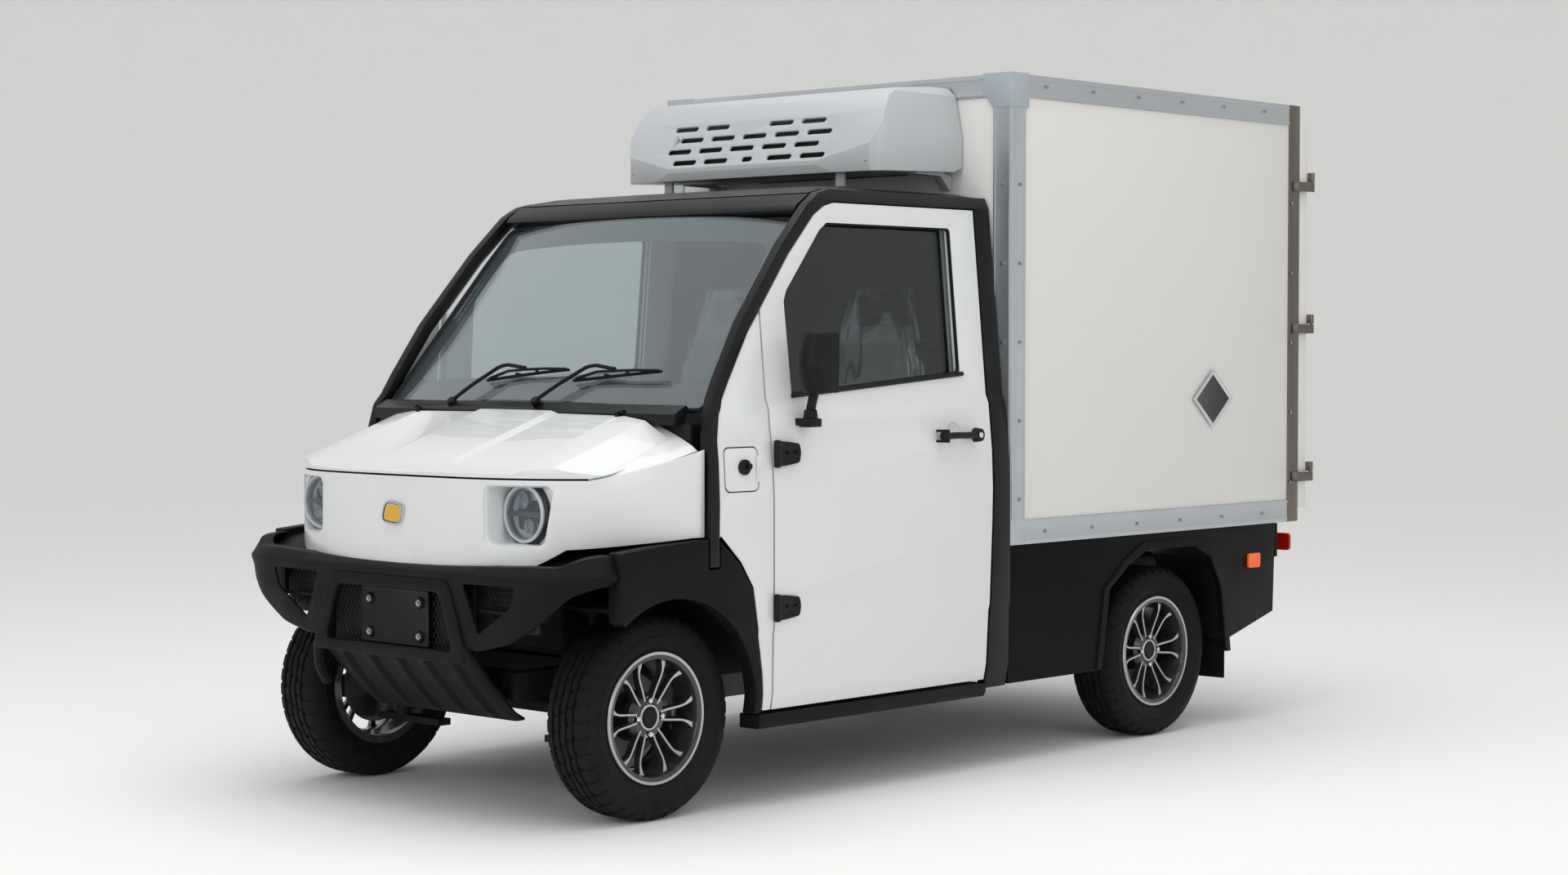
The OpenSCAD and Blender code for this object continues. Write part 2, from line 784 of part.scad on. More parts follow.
module dashboard() {
    color("#2a2b2e") truck() {
        difference() {
            side_plate([[122, 840], [122, 990], [250, 1006], [420, 985], [470, 930], [460, 830],
                [400, 800]], -590, 590);
            block(-540, -240, 380, 480, 850, 900);
            block(-90, 90, 440, 480, 900, 960);
            translate([120, 400, 900]) rod_y(5 + fit, 0, 90);
        }
        block(-90, 90, 446, 452, 902, 958);
        // Steering column on the left, with the end of its shaft
        column_space() {
            cylinder(r = 26, h = 70);
            cylinder(r = 8, h = 100);
        }
    }
}

module steering_wheel() {
    color("#1c1d1f") truck() column_space() {
        translate([0, 0, 112]) rotate_extrude($fn = 96) translate([175, 0]) circle(r = 14);
        difference() {
            union() {
                translate([0, 0, 71]) cylinder(r = 20, h = 22);
                translate([0, 0, 92]) cylinder(r = 52, h = 22);
            }
            cylinder(r = 8 + fit, h = 101);
        }
        for (a = [0, 180, 270]) rotate([0, 0, a]) translate([50, -16, 102]) cube([114, 32, 10]);
    }
}

// Floor pedal on its own pivot; w is the width of the pad
module pedal(x, w) {
    translate([x, 0, 0]) {
        translate([0, pedal_y, pedal_z]) rod_x(9, -12, 12);
        translate([0, pedal_y, pedal_z]) rod_x(4, -19, 19);
        side_plate([[163, 636], [177, 636], [246, 470], [234, 464]], -5, 5);
        side_plate([[222, 478], [262, 496], [284, 446], [276, 442], [256, 484], [226, 470]],
            -w / 2, w / 2);
    }
}

module accelerator_pedal() {
    color("#3a3b3d") truck() pedal(pedal_x[0], 42);
}

module brake_pedal() {
    color("#3a3b3d") truck() pedal(pedal_x[1], 66);
}

module gear_selector() {
    color("#1c1d1f") truck() translate([120, 455, 900]) rotate([-90, 0, 0]) {
        translate([0, 0, -20]) cylinder(r = 5, h = 40);
        translate([0, 0, 16]) cylinder(r = 24, h = 22);
        translate([0, 0, 37.5]) cylinder(r = 20, h = 6);
        translate([-4, -22, 43]) cube([8, 44, 6]);
    }
}

module seat() {
    translate([300, 0, 0]) {
        // Runner, cushion, back and headrest
        both() block(150, 180, 850, 1180, 601, 622);
        difference() {
            block(-215, 215, 800, 1195, 622, 745);
            block(-150, 150, 860, 1150, 600, 640);
        }
        side_plate([[1120, 746], [1180, 746], [1262, 1240], [1206, 1250]], -205, 205);
        side_plate([[1216, 1240], [1252, 1240], [1262, 1360], [1216, 1366]], -120, 120);
    }
}

module seat_left() {
    color("#2b2c30") truck() seat();
}

module seat_right() {
    color("#2b2c30") truck() mirror([1, 0, 0]) seat();
}

// ---------------------------------------------------------------- doors

door_line = [[350, 256], [350, 1295], [472, 1439], [583, 1548], [627, 1574], [665, 1584],
    [1258, 1584], [1258, 1030], [1250, 700], [1238, 457], [1228, 256]];
window_line = [[448, 1072], [442, 1318], [454, 1345], [600, 1508], [632, 1530], [1142, 1530],
    [1150, 1522], [1150, 1124]];
glass_line = [[431, 1056], [431, 1322], [446, 1352], [594, 1518], [630, 1541], [1160, 1541],
    [1161, 1532], [1161, 1112]];
glass_t = 24;

// Half-width of the straight plane in which the glass slides, t inside the skin
function glass_x(z, t) = 662 - t + (1064 - z) * 50 / 528;
function glass_band(t0, t1, z0, z1) = [[glass_x(z0, t0), z0], [glass_x(z0, t1), z0],
    [glass_x(z1, t1), z1], [glass_x(z1, t0), z1]];

module door() {
    difference() {
        union() {
            intersection() {
                side_skin(0, 50, 340, 1270);
                side_plate([[350, 256], [350, 1070], [1258, 1070], [1258, 1030], [1250, 700],
                    [1238, 457], [1228, 256]], 500, 720);
                block(500, 720, 340, 1270, 256, 1064);
            }
            intersection() {
                side_skin(0, 38, 340, 1270);
                side_plate(door_line, 500, 720);
                block(500, 720, 340, 1270, 1030, 1600);
            }
        }
        // Window opening, the channel that holds the glass and the well that it drops into
        side_plate(window_line, 500, 720);
        intersection() {
            cross_plate(glass_band(glass_t - 2, glass_t + 7, 1000, 1592), 340, 1270);
            union() {
                side_plate(glass_line, 500, 720);
                block(500, 720, 430, 1161, 1000, 1120);
            }
        }
        intersection() {
            side_skin(skin, 44, 370, 1226);
            block(500, 720, 372, 1222, 290, 1040);
        }
        // Recess behind the handle and the opening of the hinges
        translate([668, 1092, 951]) rotate([0, 90, 0]) cylinder(r = 36, h = 60);
    }
    // Bowl of the handle recess
    translate([664, 1092, 951]) rotate([0, 90, 0]) cylinder(r = 36, h = 4);
    // Ears of the handle and the foot that the mirror turns on
    for (z = [handle_z - 18, handle_z + 11]) difference() {
        block(684, 719, handle_y - 9, handle_y + 9, z, z + 7);
        translate([711, handle_y, z - 1]) cylinder(r = 3 + fit, h = 9);
    }
    block(664, mirror_x + 16, mirror_y - 20, mirror_y + 20, 992, 1011);
    translate([mirror_x, mirror_y, 1011]) cylinder(r = 5, h = 18);
    // Hinge knuckles
    for (z = [521, 921]) {
        translate([door_hinge_x, door_hinge_y, z - 26]) cylinder(r = 7.5, h = 52);
        block(694.5, 698.5, door_hinge_y + 3, 432, z - 22, z + 22);
        for (y = [388, 418]) translate([698.5, y, z]) rod_x(5, 0, 3);
    }
}

module door_left() {
    color("#f3f4f5") truck() door();
}

module door_right() {
    color("#f3f4f5") truck() mirror([1, 0, 0]) door();
}

module window_side() {
    intersection() {
        cross_plate(glass_band(glass_t, glass_t + 5, 1000, 1592), 340, 1270);
        side_plate([[434, 1058], [434, 1321], [448, 1351], [595, 1516], [631, 1538], [1159, 1538],
            [1159, 1114]], 500, 720);
    }
}

module window_left() {
    color("#3b4248", 0.6) truck() window_side();
}

module window_right() {
    color("#3b4248", 0.6) truck() mirror([1, 0, 0]) window_side();
}

module handle_side() {
    translate([711, handle_y, handle_z]) {
        cylinder(r = 3, h = 34, center = true);
        cylinder(r = 8, h = 20, center = true);
        translate([-4, 4, -8]) cube([12, 120, 16]);
        translate([-2, 118, -10]) cube([12, 44, 20]);
    }
}

module handle_left() {
    color("#1c1d1f") truck() handle_side();
}

module handle_right() {
    color("#1c1d1f") truck() mirror([1, 0, 0]) handle_side();
}

module mirror_side() {
    translate([mirror_x, mirror_y, 0]) {
        // Foot, upright and head
        difference() {
            translate([0, 0, 1012]) cylinder(r = 15, h = 22);
            translate([0, 0, 1005]) cylinder(r = 5 + fit, h = 25);
        }
        translate([0, 0, 1034]) cylinder(r = 11, h = 58);
        hull() {
            translate([-4, -22, 1090]) cube([84, 34, 120]);
            translate([4, -34, 1104]) cube([64, 46, 92]);
            translate([4, -20, 1080]) cube([66, 30, 146]);
        }
        translate([0, 12.5, 1092]) cube([76, 3, 116]);
    }
}

module mirror_left() {
    color("#2b2c2e") truck() mirror_side();
}

module mirror_right() {
    color("#2b2c2e") truck() mirror([1, 0, 0]) mirror_side();
}

module charge_flap() {
    color("#f3f4f5") truck() {
        intersection() {
            side_skin(0, 3, 150, 310);
            translate([640, 230, 884]) rotate([90, 0, 90]) linear_extrude(100)
                rounded_rect(121, 110, 17);
        }
        // Lock on the flap and the pin that it turns on
        translate([690, 236, 890]) rotate([0, 90, 0]) cylinder(r = 20, h = 8);
        translate([695, 292.5, 884]) cylinder(r = 2.5, h = 80, center = true);
        block(687, 695, 282, 290, 850, 918);
        block(691, 695, 286, 292.5, 850, 918);
    }
}

module charge_socket() {
    color("#1f2022") truck() difference() {
        union() {
            block(655, 677, 166, 284, 828, 940);
            translate([640, 226, 884]) rotate([0, 90, 0]) cylinder(r = 38, h = 20);
        }
        translate([662, 226, 884]) rotate([0, 90, 0]) cylinder(r = 28, h = 20);
    }
}

// ---------------------------------------------------------------- cargo box

module box_body() {
    color("#f1f0ee") truck() difference() {
        block(-box_x + 3, box_x - 3, box_y + 3, box_end - 40, box_z, box_top - 3);
        block(-box_x + wall_t, box_x - wall_t, box_y + wall_t, box_end + 10,
            box_z + wall_t, box_top - wall_t);
        both() block(box_x - 62, box_x + 10, box_end - 62, box_end, box_z - 10, box_top + 10);
        block(-box_x, box_x, box_end - 62, box_end, box_top - 52, box_top + 10);
        block(-box_x, box_x, box_end - 62, box_end, box_z - 1, box_z + 40);
        block(-300, 300, box_y - 10, box_y + 60, 1700, 1900);
    }
}

module box_rails() {
    rail = 66;
    post = 68;
    color("#b3bbc1") truck() {
        difference() {
            union() {
                block(-box_x, box_x, box_y, box_end - 64, box_top - rail, box_top);
                block(-box_x, box_x, box_y, box_end - 64, box_z, box_z + 72);
                both() block(box_x - post, box_x, box_y, box_y + post, box_z, box_top);
                // Raised beads along the rails
                both() {
                    for (z = [box_top - 14, box_top - 62, box_z + 8, box_z + 64])
                        block(box_x, box_x + 2, box_y + post, box_end - 64, z, z + 6);
                    for (y = [box_y + 4, box_y + 58])
                        block(box_x, box_x + 2, y, y + 6, box_z + 74, box_top - 70);
                    for (x = [box_x - 10, box_x - 64])
                        block(x, x + 6, box_y - 2, box_y, box_z + 74, box_top - 90);
                }
                for (z = [box_top - 14, box_top - 62])
                    block(-box_x + 70, box_x - 70, box_y - 2, box_y, z, z + 6);
            }
            block(-box_x + 3, box_x - 3, box_y + 3, box_end, box_z - 1, box_top - 3);
            both() block(box_x - 90, box_x - 64, box_y - 1, box_y + 5, box_z + 72, box_top - rail);
            block(-box_x + post, box_x - post, box_y - 5, box_y + 10, box_z + 72, box_top - rail);
            both() block(box_x - 5, box_x + 10, box_y + post, box_end, box_z + 72, box_top - rail);
        }
        // Corner castings over the front corners
        both() difference() {
            block(box_x - 100, box_x + 4, box_y - 4, box_y + 78, box_top - 96, box_top + 3);
            block(box_x - 101, box_x, box_y, box_y + 79, box_top - 97, box_top);
            cross_plate([[box_x - 110, box_top - 30], [box_x - 64, box_top - 97],
                [box_x - 110, box_top - 100]], box_y - 10, box_y + 2);
        }
    }
}

module rear_frame() {
    post = 62;
    color("#4c4a47") truck() {
        difference() {
            block(-box_x, box_x, box_end - post, box_end, box_z, box_top);
            block(-box_x + post, box_x - post, box_end - post - 5, box_end + 5,
                box_z + 40, box_top - 52);
        }
        both() {
            // Hinge brackets on the posts
            for (z = [760, 1240, 1700]) difference() {
                union() {
                    translate([hinge_x, hinge_y, z]) cylinder(r = 8, h = 30);
                    block(hinge_x - 2, hinge_x + 6, box_end - 34, hinge_y, z, z + 30);
                    block(box_x, hinge_x, box_end - 34, box_end - 4, z, z + 30);
                }
                translate([hinge_x, hinge_y, z - 1]) cylinder(r = 4 + fit, h = 40);
            }
            // Keepers of the lock bars
            for (z = [box_top - 44, box_z + 14]) block(110, 170, box_end + 50, box_end + 56, z, z + 20);
            for (z = [box_top - 44, box_z + 14]) block(110, 118, box_end, box_end + 50, z, z + 20);
        }
    }
}

module cargo_door() {
    difference() {
        union() {
            block(4, box_x - 2, box_end + 1, box_end + door_t, box_z + 44, box_top - 56);
            for (z = [792, 1272, 1732]) {
                translate([hinge_x, hinge_y, z]) cylinder(r = 8, h = 30);
                block(box_x - 150, hinge_x, box_end + door_t, hinge_y - 2, z, z + 30);
            }
            for (z = [760, 1240, 1700]) translate([hinge_x, hinge_y, z + 1])
                cylinder(r = 4, h = 40);
        }
        // Rebate round the edge for the seal
        block(4 - 1, box_x, box_end, box_end + 3, box_z + 40, box_z + 60);
    }
    // Guides of the lock bar
    for (z = [820, 1070, 1480, 1800]) difference() {
        block(122, 158, box_end + door_t, box_end + door_t + 24, z, z + 24);
        translate([140, box_end + door_t + 12, z - 1]) cylinder(r = 8 + fit, h = 26);
    }
}

module cargo_door_left() {
    color("#f1f0ee") truck() cargo_door();
}

module cargo_door_right() {
    color("#f1f0ee") truck() mirror([1, 0, 0]) cargo_door();
}

module lock_bar() {
    translate([140, box_end + door_t + 12, 0]) {
        translate([0, 0, box_z + 48]) cylinder(r = 8, h = box_h - 106);
        for (z = [box_z + 50, box_top - 72]) block(-6, 6, -1, 10, z, z + 12);
        translate([0, 0, 1170]) {
            translate([0, 0, 6]) cylinder(r = 11, h = 30);
            block(0, 230, -5, 5, 12, 32);
            block(190, 300, -7, 7, 8, 36);
        }
    }
}

module lock_bar_left() {
    color("#9aa0a4") truck() lock_bar();
}

module lock_bar_right() {
    color("#9aa0a4") truck() mirror([1, 0, 0]) lock_bar();
}

// Outline of the rear arch, grown by t
function rear_arch(t) = [[1772 - t, 200], [1816 - t, 474], [1912 - 0.7 * t, 540 + 0.7 * t],
    [2000 - 0.4 * t, 580 + t], [2258 + 0.4 * t, 580 + t], [2346 + 0.6 * t, 540 + 0.7 * t],
    [2404 + 0.9 * t, 442 + 0.3 * t], [2440 + t, 200]];

module side_skirt() {
    difference() {
        union() {
            side_plate([[1336, 234], [1336, 628], [2724, 628], [2712, 346], [2453, 276],
                [2440, 270], [1762, 234]], 672, 684);
            // Raised flare round the arch
            intersection() {
                side_plate(rear_arch(26), 684, 692);
                block(684, 692, 1700, 2500, 238, 640);
            }
        }
        side_plate(rear_arch(0), 660, 700);
    }
    // Inner wall of the arch, a little inside the skirt
    difference() {
        intersection() {
            side_plate(rear_arch(8), 470, 672 - weld);
            block(460, 672, 1700, 2500, 276, 640);
        }
        side_plate(rear_arch(0), 460, 700);
        block(460, 672 - weld, 2340, 2410, 564, 640);
    }
    // Mud flap
    block(500, 672 - weld, 2450, 2456, 150, 290);
}

module side_skirts() {
    color("#202123") truck() {
        both() side_skirt();
        // Underrun bar and rear lamp panel
        block(-684, 684, 2724 + weld, 2736, 520, 628);
        block(-560, 560, 2800 + weld, 2836, 380, 430);
        both() block(330, 360, 2736 + weld, 2800, 400, 519);
    }
}

// ---------------------------------------------------------------- refrigeration unit

module reefer_form(t) {
    intersection() {
        side_plate([[950 + t, 1690 + t], [942 + t, 1722 + t], [1010 + t, 1866 - t * 0.4],
            [1040 + t * 0.6, 1908 - t], [1090, 1932 - t], [1334, 1950 - t], [1334, 1712 + t],
            [1300, 1700 + t]], -600, 600);
        cross_plate([[-512 + t, 1680], [-512 + t, 1800], [-488 + t, 1920], [-462 + t, 1944 - t],
            [-300, 1958 - t], [300, 1958 - t], [462 - t, 1944 - t], [488 - t, 1920],
            [512 - t, 1800], [512 - t, 1680]], 900, 1400);
        plan_plate(concat(arc([440 - t, 1030 + t], 76, 0, -60, 6), [[300, 944 + t],
            [-300, 944 + t]], arc([-440 + t, 1030 + t], 76, 240, 180, 6),
            [[-516 + t, 1334], [516 - t, 1334]]), 1600, 2000);
    }
}

// Rows of slots in the sloping front of the unit
module reefer_slots() {
    translate([0, 976, 1794]) rotate([90 - 25.3, 0, 0]) for (row = [0 : 3], k = [-2 : 2])
        if (!(row == 0 && k == 0)) translate([k * 128 + (row % 2) * 36 - 18,
            (1.5 - row) * 38, -60]) linear_extrude(120) rounded_rect(row == 3 && k == 0 ? 40 : 96,
            17, 8.4);
}

module reefer_shell() {
    color("#a9aeb3") truck() {
        difference() {
            reefer_form(0);
            difference() {
                reefer_form(8);
                block(-600, 600, 900, 1400, 1600, 1704);
            }
            reefer_slots();
            block(-280, 280, 1240, 1340, 1710, 1890);
        }
        // Condenser core and compressor inside
        side_plate([[1052, 1712], [1060, 1712], [1110, 1880], [1102, 1880]], -400, -20);
        block(60, 400, 1080, 1300, 1712, 1860);
        translate([fan_x, 0, fan_z]) rod_y(6, 1122, 1160);
        translate([fan_x, 0, fan_z]) rod_y(34, 1153, 1220);
        block(fan_x - 30, fan_x + 30, 1160, 1210, 1704, 1780);
        // Brackets under the unit
        both() {
            side_plate([[1330, 1650], [1336, 1650], [1336, 1690], [1300, 1700], [1180, 1700],
                [1180, 1692], [1290, 1690]], 440, 470);
            block(330, 360, 990, 1000, 1652, 1690);
        }
    }
}

module reefer_fan() {
    color("#1b1c1e") truck() translate([fan_x, 1151, fan_z]) rotate([90, 0, 0]) {
        difference() {
            cylinder(r = 26, h = 30);
            translate([0, 0, -1]) cylinder(r = 6 + fit, h = 40);
        }
        for (k = [0 : 5]) rotate([0, 0, 60 * k]) translate([20, -14, 10]) rotate([32, 0, 0])
            cube([50, 28, 3]);
    }
}

chassis_frame();
battery_pack();
rear_axle();
rear_springs();
strut_left();
strut_right();
spring_left();
spring_right();
knuckle_left();
knuckle_right();
steering_rack();
tyre_front_left();
tyre_front_right();
tyre_rear_left();
tyre_rear_right();
rim_front_left();
rim_front_right();
rim_rear_left();
rim_rear_right();
cab_shell();
cab_frame();
cab_roof();
front_fascia();
side_fenders();
arch_trims();
bumper();
hardware();
trim_plates();
lamps();
windscreen();
hood();
wiper_left();
wiper_right();
dashboard();
steering_wheel();
accelerator_pedal();
brake_pedal();
gear_selector();
seat_left();
seat_right();
door_left();
door_right();
window_left();
window_right();
handle_left();
handle_right();
mirror_left();
mirror_right();
charge_flap();
charge_socket();
box_body();
box_rails();
rear_frame();
cargo_door_left();
cargo_door_right();
lock_bar_left();
lock_bar_right();
side_skirts();
reefer_shell();
reefer_fan();
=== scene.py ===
"""Looks of a small electric delivery truck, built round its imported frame.

Each class is one sub-assembly: its fields are sizes in millimetres, and its methods shape the
pieces and dress them. Places are measured from the front axle and the road, as on a drawing,
and turned into metres of the frame by at().
"""

import json
import logging
import math
from collections.abc import Callable, Iterable, Sequence
from dataclasses import dataclass, field
from enum import Enum

import bpy
from mathutils import Matrix, Vector

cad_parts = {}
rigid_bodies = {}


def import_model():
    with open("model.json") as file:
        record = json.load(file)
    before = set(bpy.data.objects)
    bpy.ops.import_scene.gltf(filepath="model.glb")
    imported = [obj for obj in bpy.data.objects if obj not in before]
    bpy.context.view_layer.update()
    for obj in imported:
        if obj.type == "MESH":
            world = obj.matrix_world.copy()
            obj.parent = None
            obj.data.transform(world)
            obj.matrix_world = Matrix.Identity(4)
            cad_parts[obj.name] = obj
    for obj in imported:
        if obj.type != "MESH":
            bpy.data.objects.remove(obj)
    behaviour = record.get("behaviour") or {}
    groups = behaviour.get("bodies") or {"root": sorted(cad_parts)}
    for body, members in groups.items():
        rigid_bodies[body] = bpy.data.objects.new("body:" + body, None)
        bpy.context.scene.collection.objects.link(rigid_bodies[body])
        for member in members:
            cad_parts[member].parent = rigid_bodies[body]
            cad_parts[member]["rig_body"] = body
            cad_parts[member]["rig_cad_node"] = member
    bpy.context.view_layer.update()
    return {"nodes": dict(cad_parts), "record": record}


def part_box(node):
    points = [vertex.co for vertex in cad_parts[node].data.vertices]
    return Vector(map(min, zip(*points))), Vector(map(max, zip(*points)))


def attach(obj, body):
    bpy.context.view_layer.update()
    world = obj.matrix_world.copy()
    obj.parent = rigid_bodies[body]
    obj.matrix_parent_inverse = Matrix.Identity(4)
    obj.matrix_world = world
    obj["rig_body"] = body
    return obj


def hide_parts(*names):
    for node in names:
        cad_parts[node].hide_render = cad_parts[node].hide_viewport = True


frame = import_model()

log = logging.getLogger("truck")
MM = 0.001


def middle_of(node: str) -> Vector:
    """Return the middle of a CAD node's box."""
    low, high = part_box(node)
    return (low + high) / 2


FRONT_AXLE = middle_of("rim_front_left")


def at(x: float, y: float, z: float) -> Vector:
    """Turn a place on the drawing into a place in the frame.

    Args:
        x: millimetres towards the truck's own left.
        y: millimetres behind the front axle.
        z: millimetres above the road.

    Returns:
        The same place in metres.
    """
    return Vector((x * MM, FRONT_AXLE.y + y * MM, z * MM))


# ------------------------------------------------------------------ finishes


class Surface(Enum):
    """How a surface was made, which sets the pattern that it carries."""

    SPRAYED = "sprayed"
    MOULDED = "moulded"
    BRUSHED = "brushed"
    CAST = "cast"
    WOVEN = "woven"
    POLISHED = "polished"
    CREASED = "creased"


class Lay(Enum):
    """Which way brushed or drawn lines run, as the stretch of the pattern on X, Y and Z."""

    ALONG = (1.0, 0.02, 1.0)
    UP = (1.0, 1.0, 0.02)
    NONE = (1.0, 1.0, 1.0)


def linear(hex_colour: str) -> tuple[float, float, float, float]:
    """Turn an sRGB hex colour into the linear colour that shaders use."""
    parts = [int(hex_colour[i : i + 2], 16) / 255 for i in (1, 3, 5)]
    light = [p / 12.92 if p <= 0.04045 else ((p + 0.055) / 1.055) ** 2.4 for p in parts]
    return (light[0], light[1], light[2], 1.0)


def add_node(
    tree: bpy.types.NodeTree,
    kind: str,
    settings: dict[str | int, object] | None = None,
    links: dict[str | int, bpy.types.NodeSocket] | None = None,
) -> bpy.types.Node:
    """Add one shader node with its settings and links.

    Args:
        tree: the material's node tree.
        kind: the node's type.
        settings: input names or numbers with their values, and other properties by name.
        links: input names or numbers with the sockets that feed them.

    Returns:
        The new node.
    """
    node = tree.nodes.new(kind)
    for key, value in (settings or {}).items():
        if isinstance(key, int) or key in node.inputs:
            node.inputs[key].default_value = value
        else:
            setattr(node, key, value)
    for key, source in (links or {}).items():
        tree.links.new(source, node.inputs[key])
    return node


@dataclass(frozen=True)
class Finish:
    """A material and how its surface was made.

    grain is the real width of the pattern and relief its depth, both in millimetres; stray is how
    far the colour wanders, and dust how much road dust lies on it near the ground. gleam is the
    share of its reflection that is left: the pits of a rough skin swallow some of it.
    """

    name: str
    slot: str
    colour: str
    roughness: float
    surface: Surface = Surface.SPRAYED
    metallic: float = 0.0
    ior: float = 1.5
    coat: float = 0.0
    sheen: float = 0.0
    glow: float = 0.0
    gleam: float = 0.5
    grain: float = 2.0
    relief: float = 0.01
    stray: float = 0.04
    dust: float = 0.0
    lay: Lay = Lay.NONE

    def build(self) -> bpy.types.Material:
        """Build the material's nodes.

        Returns:
            The finished material.
        """
        material = bpy.data.materials.new(self.name)
        material.use_nodes = True
        tree = material.node_tree
        tree.nodes.clear()
        place = add_node(tree, "ShaderNodeTexCoord").outputs["Object"]
        laid = add_node(tree, "ShaderNodeMapping", {"Scale": self.lay.value}, {"Vector": place})
        height = self._height(tree, laid.outputs["Vector"])
        shader = add_node(
            tree,
            "ShaderNodeBsdfPrincipled",
            {
                "Metallic": self.metallic,
                "Specular IOR Level": self.gleam,
                "Coat Weight": self.coat,
                "Coat Roughness": 0.04,
                "Sheen Weight": self.sheen,
                "Emission Color": linear(self.colour),
                "Emission Strength": self.glow,
            },
            {
                "Base Color": self._colour(tree, place, height),
                "Roughness": self._roughness(tree, place, height),
                "Normal": self._relief(tree, height),
            },
        )
        if self.metallic < 0.5:
            shader.inputs["IOR"].default_value = self.ior
        add_node(tree, "ShaderNodeOutputMaterial", links={"Surface": shader.outputs["BSDF"]})
        return material

    def _height(self, tree: bpy.types.NodeTree, place: bpy.types.NodeSocket) -> bpy.types.NodeSocket:
        """Return the height of the surface's pattern, from 0 to 1."""
        scale = 1 / (self.grain * MM)
        if self.surface is Surface.MOULDED:
            cells = add_node(
                tree,
                "ShaderNodeTexVoronoi",
                {"feature": "SMOOTH_F1", "Scale": scale, "Smoothness": 0.6},
                {"Vector": place},
            )
            return cells.outputs["Distance"]
        if self.surface is Surface.WOVEN:
            warp = add_node(
                tree,
                "ShaderNodeTexWave",
                {"wave_type": "BANDS", "bands_direction": "X", "Scale": scale / 3, "Distortion": 0.3},
                {"Vector": place},
            )
            weft = add_node(
                tree,
                "ShaderNodeTexWave",
                {"wave_type": "BANDS", "bands_direction": "Z", "Scale": scale / 3, "Distortion": 0.3},
                {"Vector": place},
            )
            return add_node(
                tree,
                "ShaderNodeMath",
                {"operation": "MAXIMUM"},
                {0: warp.outputs["Fac"], 1: weft.outputs["Fac"]},
            ).outputs[0]
        detail = {Surface.CAST: 6.0, Surface.CREASED: 3.0, Surface.BRUSHED: 4.0}.get(self.surface, 1.5)
        return add_node(
            tree,
            "ShaderNodeTexNoise",
            {"Scale": scale, "Detail": detail, "Distortion": 2.5 if detail == 3.0 else 0.0},
            {"Vector": place},
        ).outputs["Fac"]

    def _colour(
        self, tree: bpy.types.NodeTree, place: bpy.types.NodeSocket, height: bpy.types.NodeSocket
    ) -> bpy.types.NodeSocket:
        """Return the surface's colour: it strays a little, and dust lies low on the truck."""
        base = linear(self.colour)
        broad = add_node(tree, "ShaderNodeTexNoise", {"Scale": 2.2, "Detail": 3.0}, {"Vector": place})
        blend = add_node(
            tree,
            "ShaderNodeMath",
            {"operation": "MULTIPLY_ADD", 1: 0.25},
            {0: height, 2: broad.outputs["Fac"]},
        )
        darker = tuple(c * (1 - self.stray) for c in base[:3]) + (1.0,)
        lighter = tuple(min(1.0, c * (1 + self.stray)) for c in base[:3]) + (1.0,)
        ramp = add_node(tree, "ShaderNodeValToRGB", links={"Fac": blend.outputs[0]})
        ramp.color_ramp.elements[0].position = 0.35
        ramp.color_ramp.elements[0].color = darker
        ramp.color_ramp.elements[1].position = 0.85
        ramp.color_ramp.elements[1].color = lighter
        if self.dust == 0:
            return ramp.outputs["Color"]
        height_up = add_node(tree, "ShaderNodeSeparateXYZ", links={"Vector": place}).outputs["Z"]
        low = add_node(
            tree,
            "ShaderNodeMapRange",
            {"From Min": 0.62, "From Max": 0.04, "To Min": 0.0, "To Max": self.dust},
            {"Value": height_up},
        )
        patchy = add_node(tree, "ShaderNodeTexNoise", {"Scale": 34.0, "Detail": 5.0}, {"Vector": place})
        share = add_node(
            tree,
            "ShaderNodeMath",
            {"operation": "MULTIPLY"},
            {0: low.outputs["Result"], 1: patchy.outputs["Fac"]},
        )
        return add_node(
            tree,
            "ShaderNodeMix",
            {"data_type": "RGBA", 7: linear(ROAD_DUST)},
            {0: share.outputs[0], 6: ramp.outputs["Color"]},
        ).outputs[2]

    def _roughness(
        self, tree: bpy.types.NodeTree, place: bpy.types.NodeSocket, height: bpy.types.NodeSocket
    ) -> bpy.types.NodeSocket:
        """Return the roughness: wiped patches are smoother, and the pattern breaks them up."""
        wiped = add_node(tree, "ShaderNodeTexNoise", {"Scale": 5.0, "Detail": 4.0}, {"Vector": place})
        both = add_node(
            tree,
            "ShaderNodeMath",
            {"operation": "MULTIPLY_ADD", 1: 0.3},
            {0: height, 2: wiped.outputs["Fac"]},
        )
        return add_node(
            tree,
            "ShaderNodeMapRange",
            {
                "From Min": 0.3,
                "From Max": 1.0,
                "To Min": self.roughness * 0.85,
                "To Max": min(1.0, self.roughness * 1.2),
            },
            {"Value": both.outputs[0]},
        ).outputs["Result"]

    def _relief(self, tree: bpy.types.NodeTree, height: bpy.types.NodeSocket) -> bpy.types.NodeSocket:
        """Return the normal that the pattern's relief gives."""
        return add_node(
            tree,
            "ShaderNodeBump",
            {"Strength": 1.0, "Distance": self.relief * MM},
            {"Height": height},
        ).outputs["Normal"]


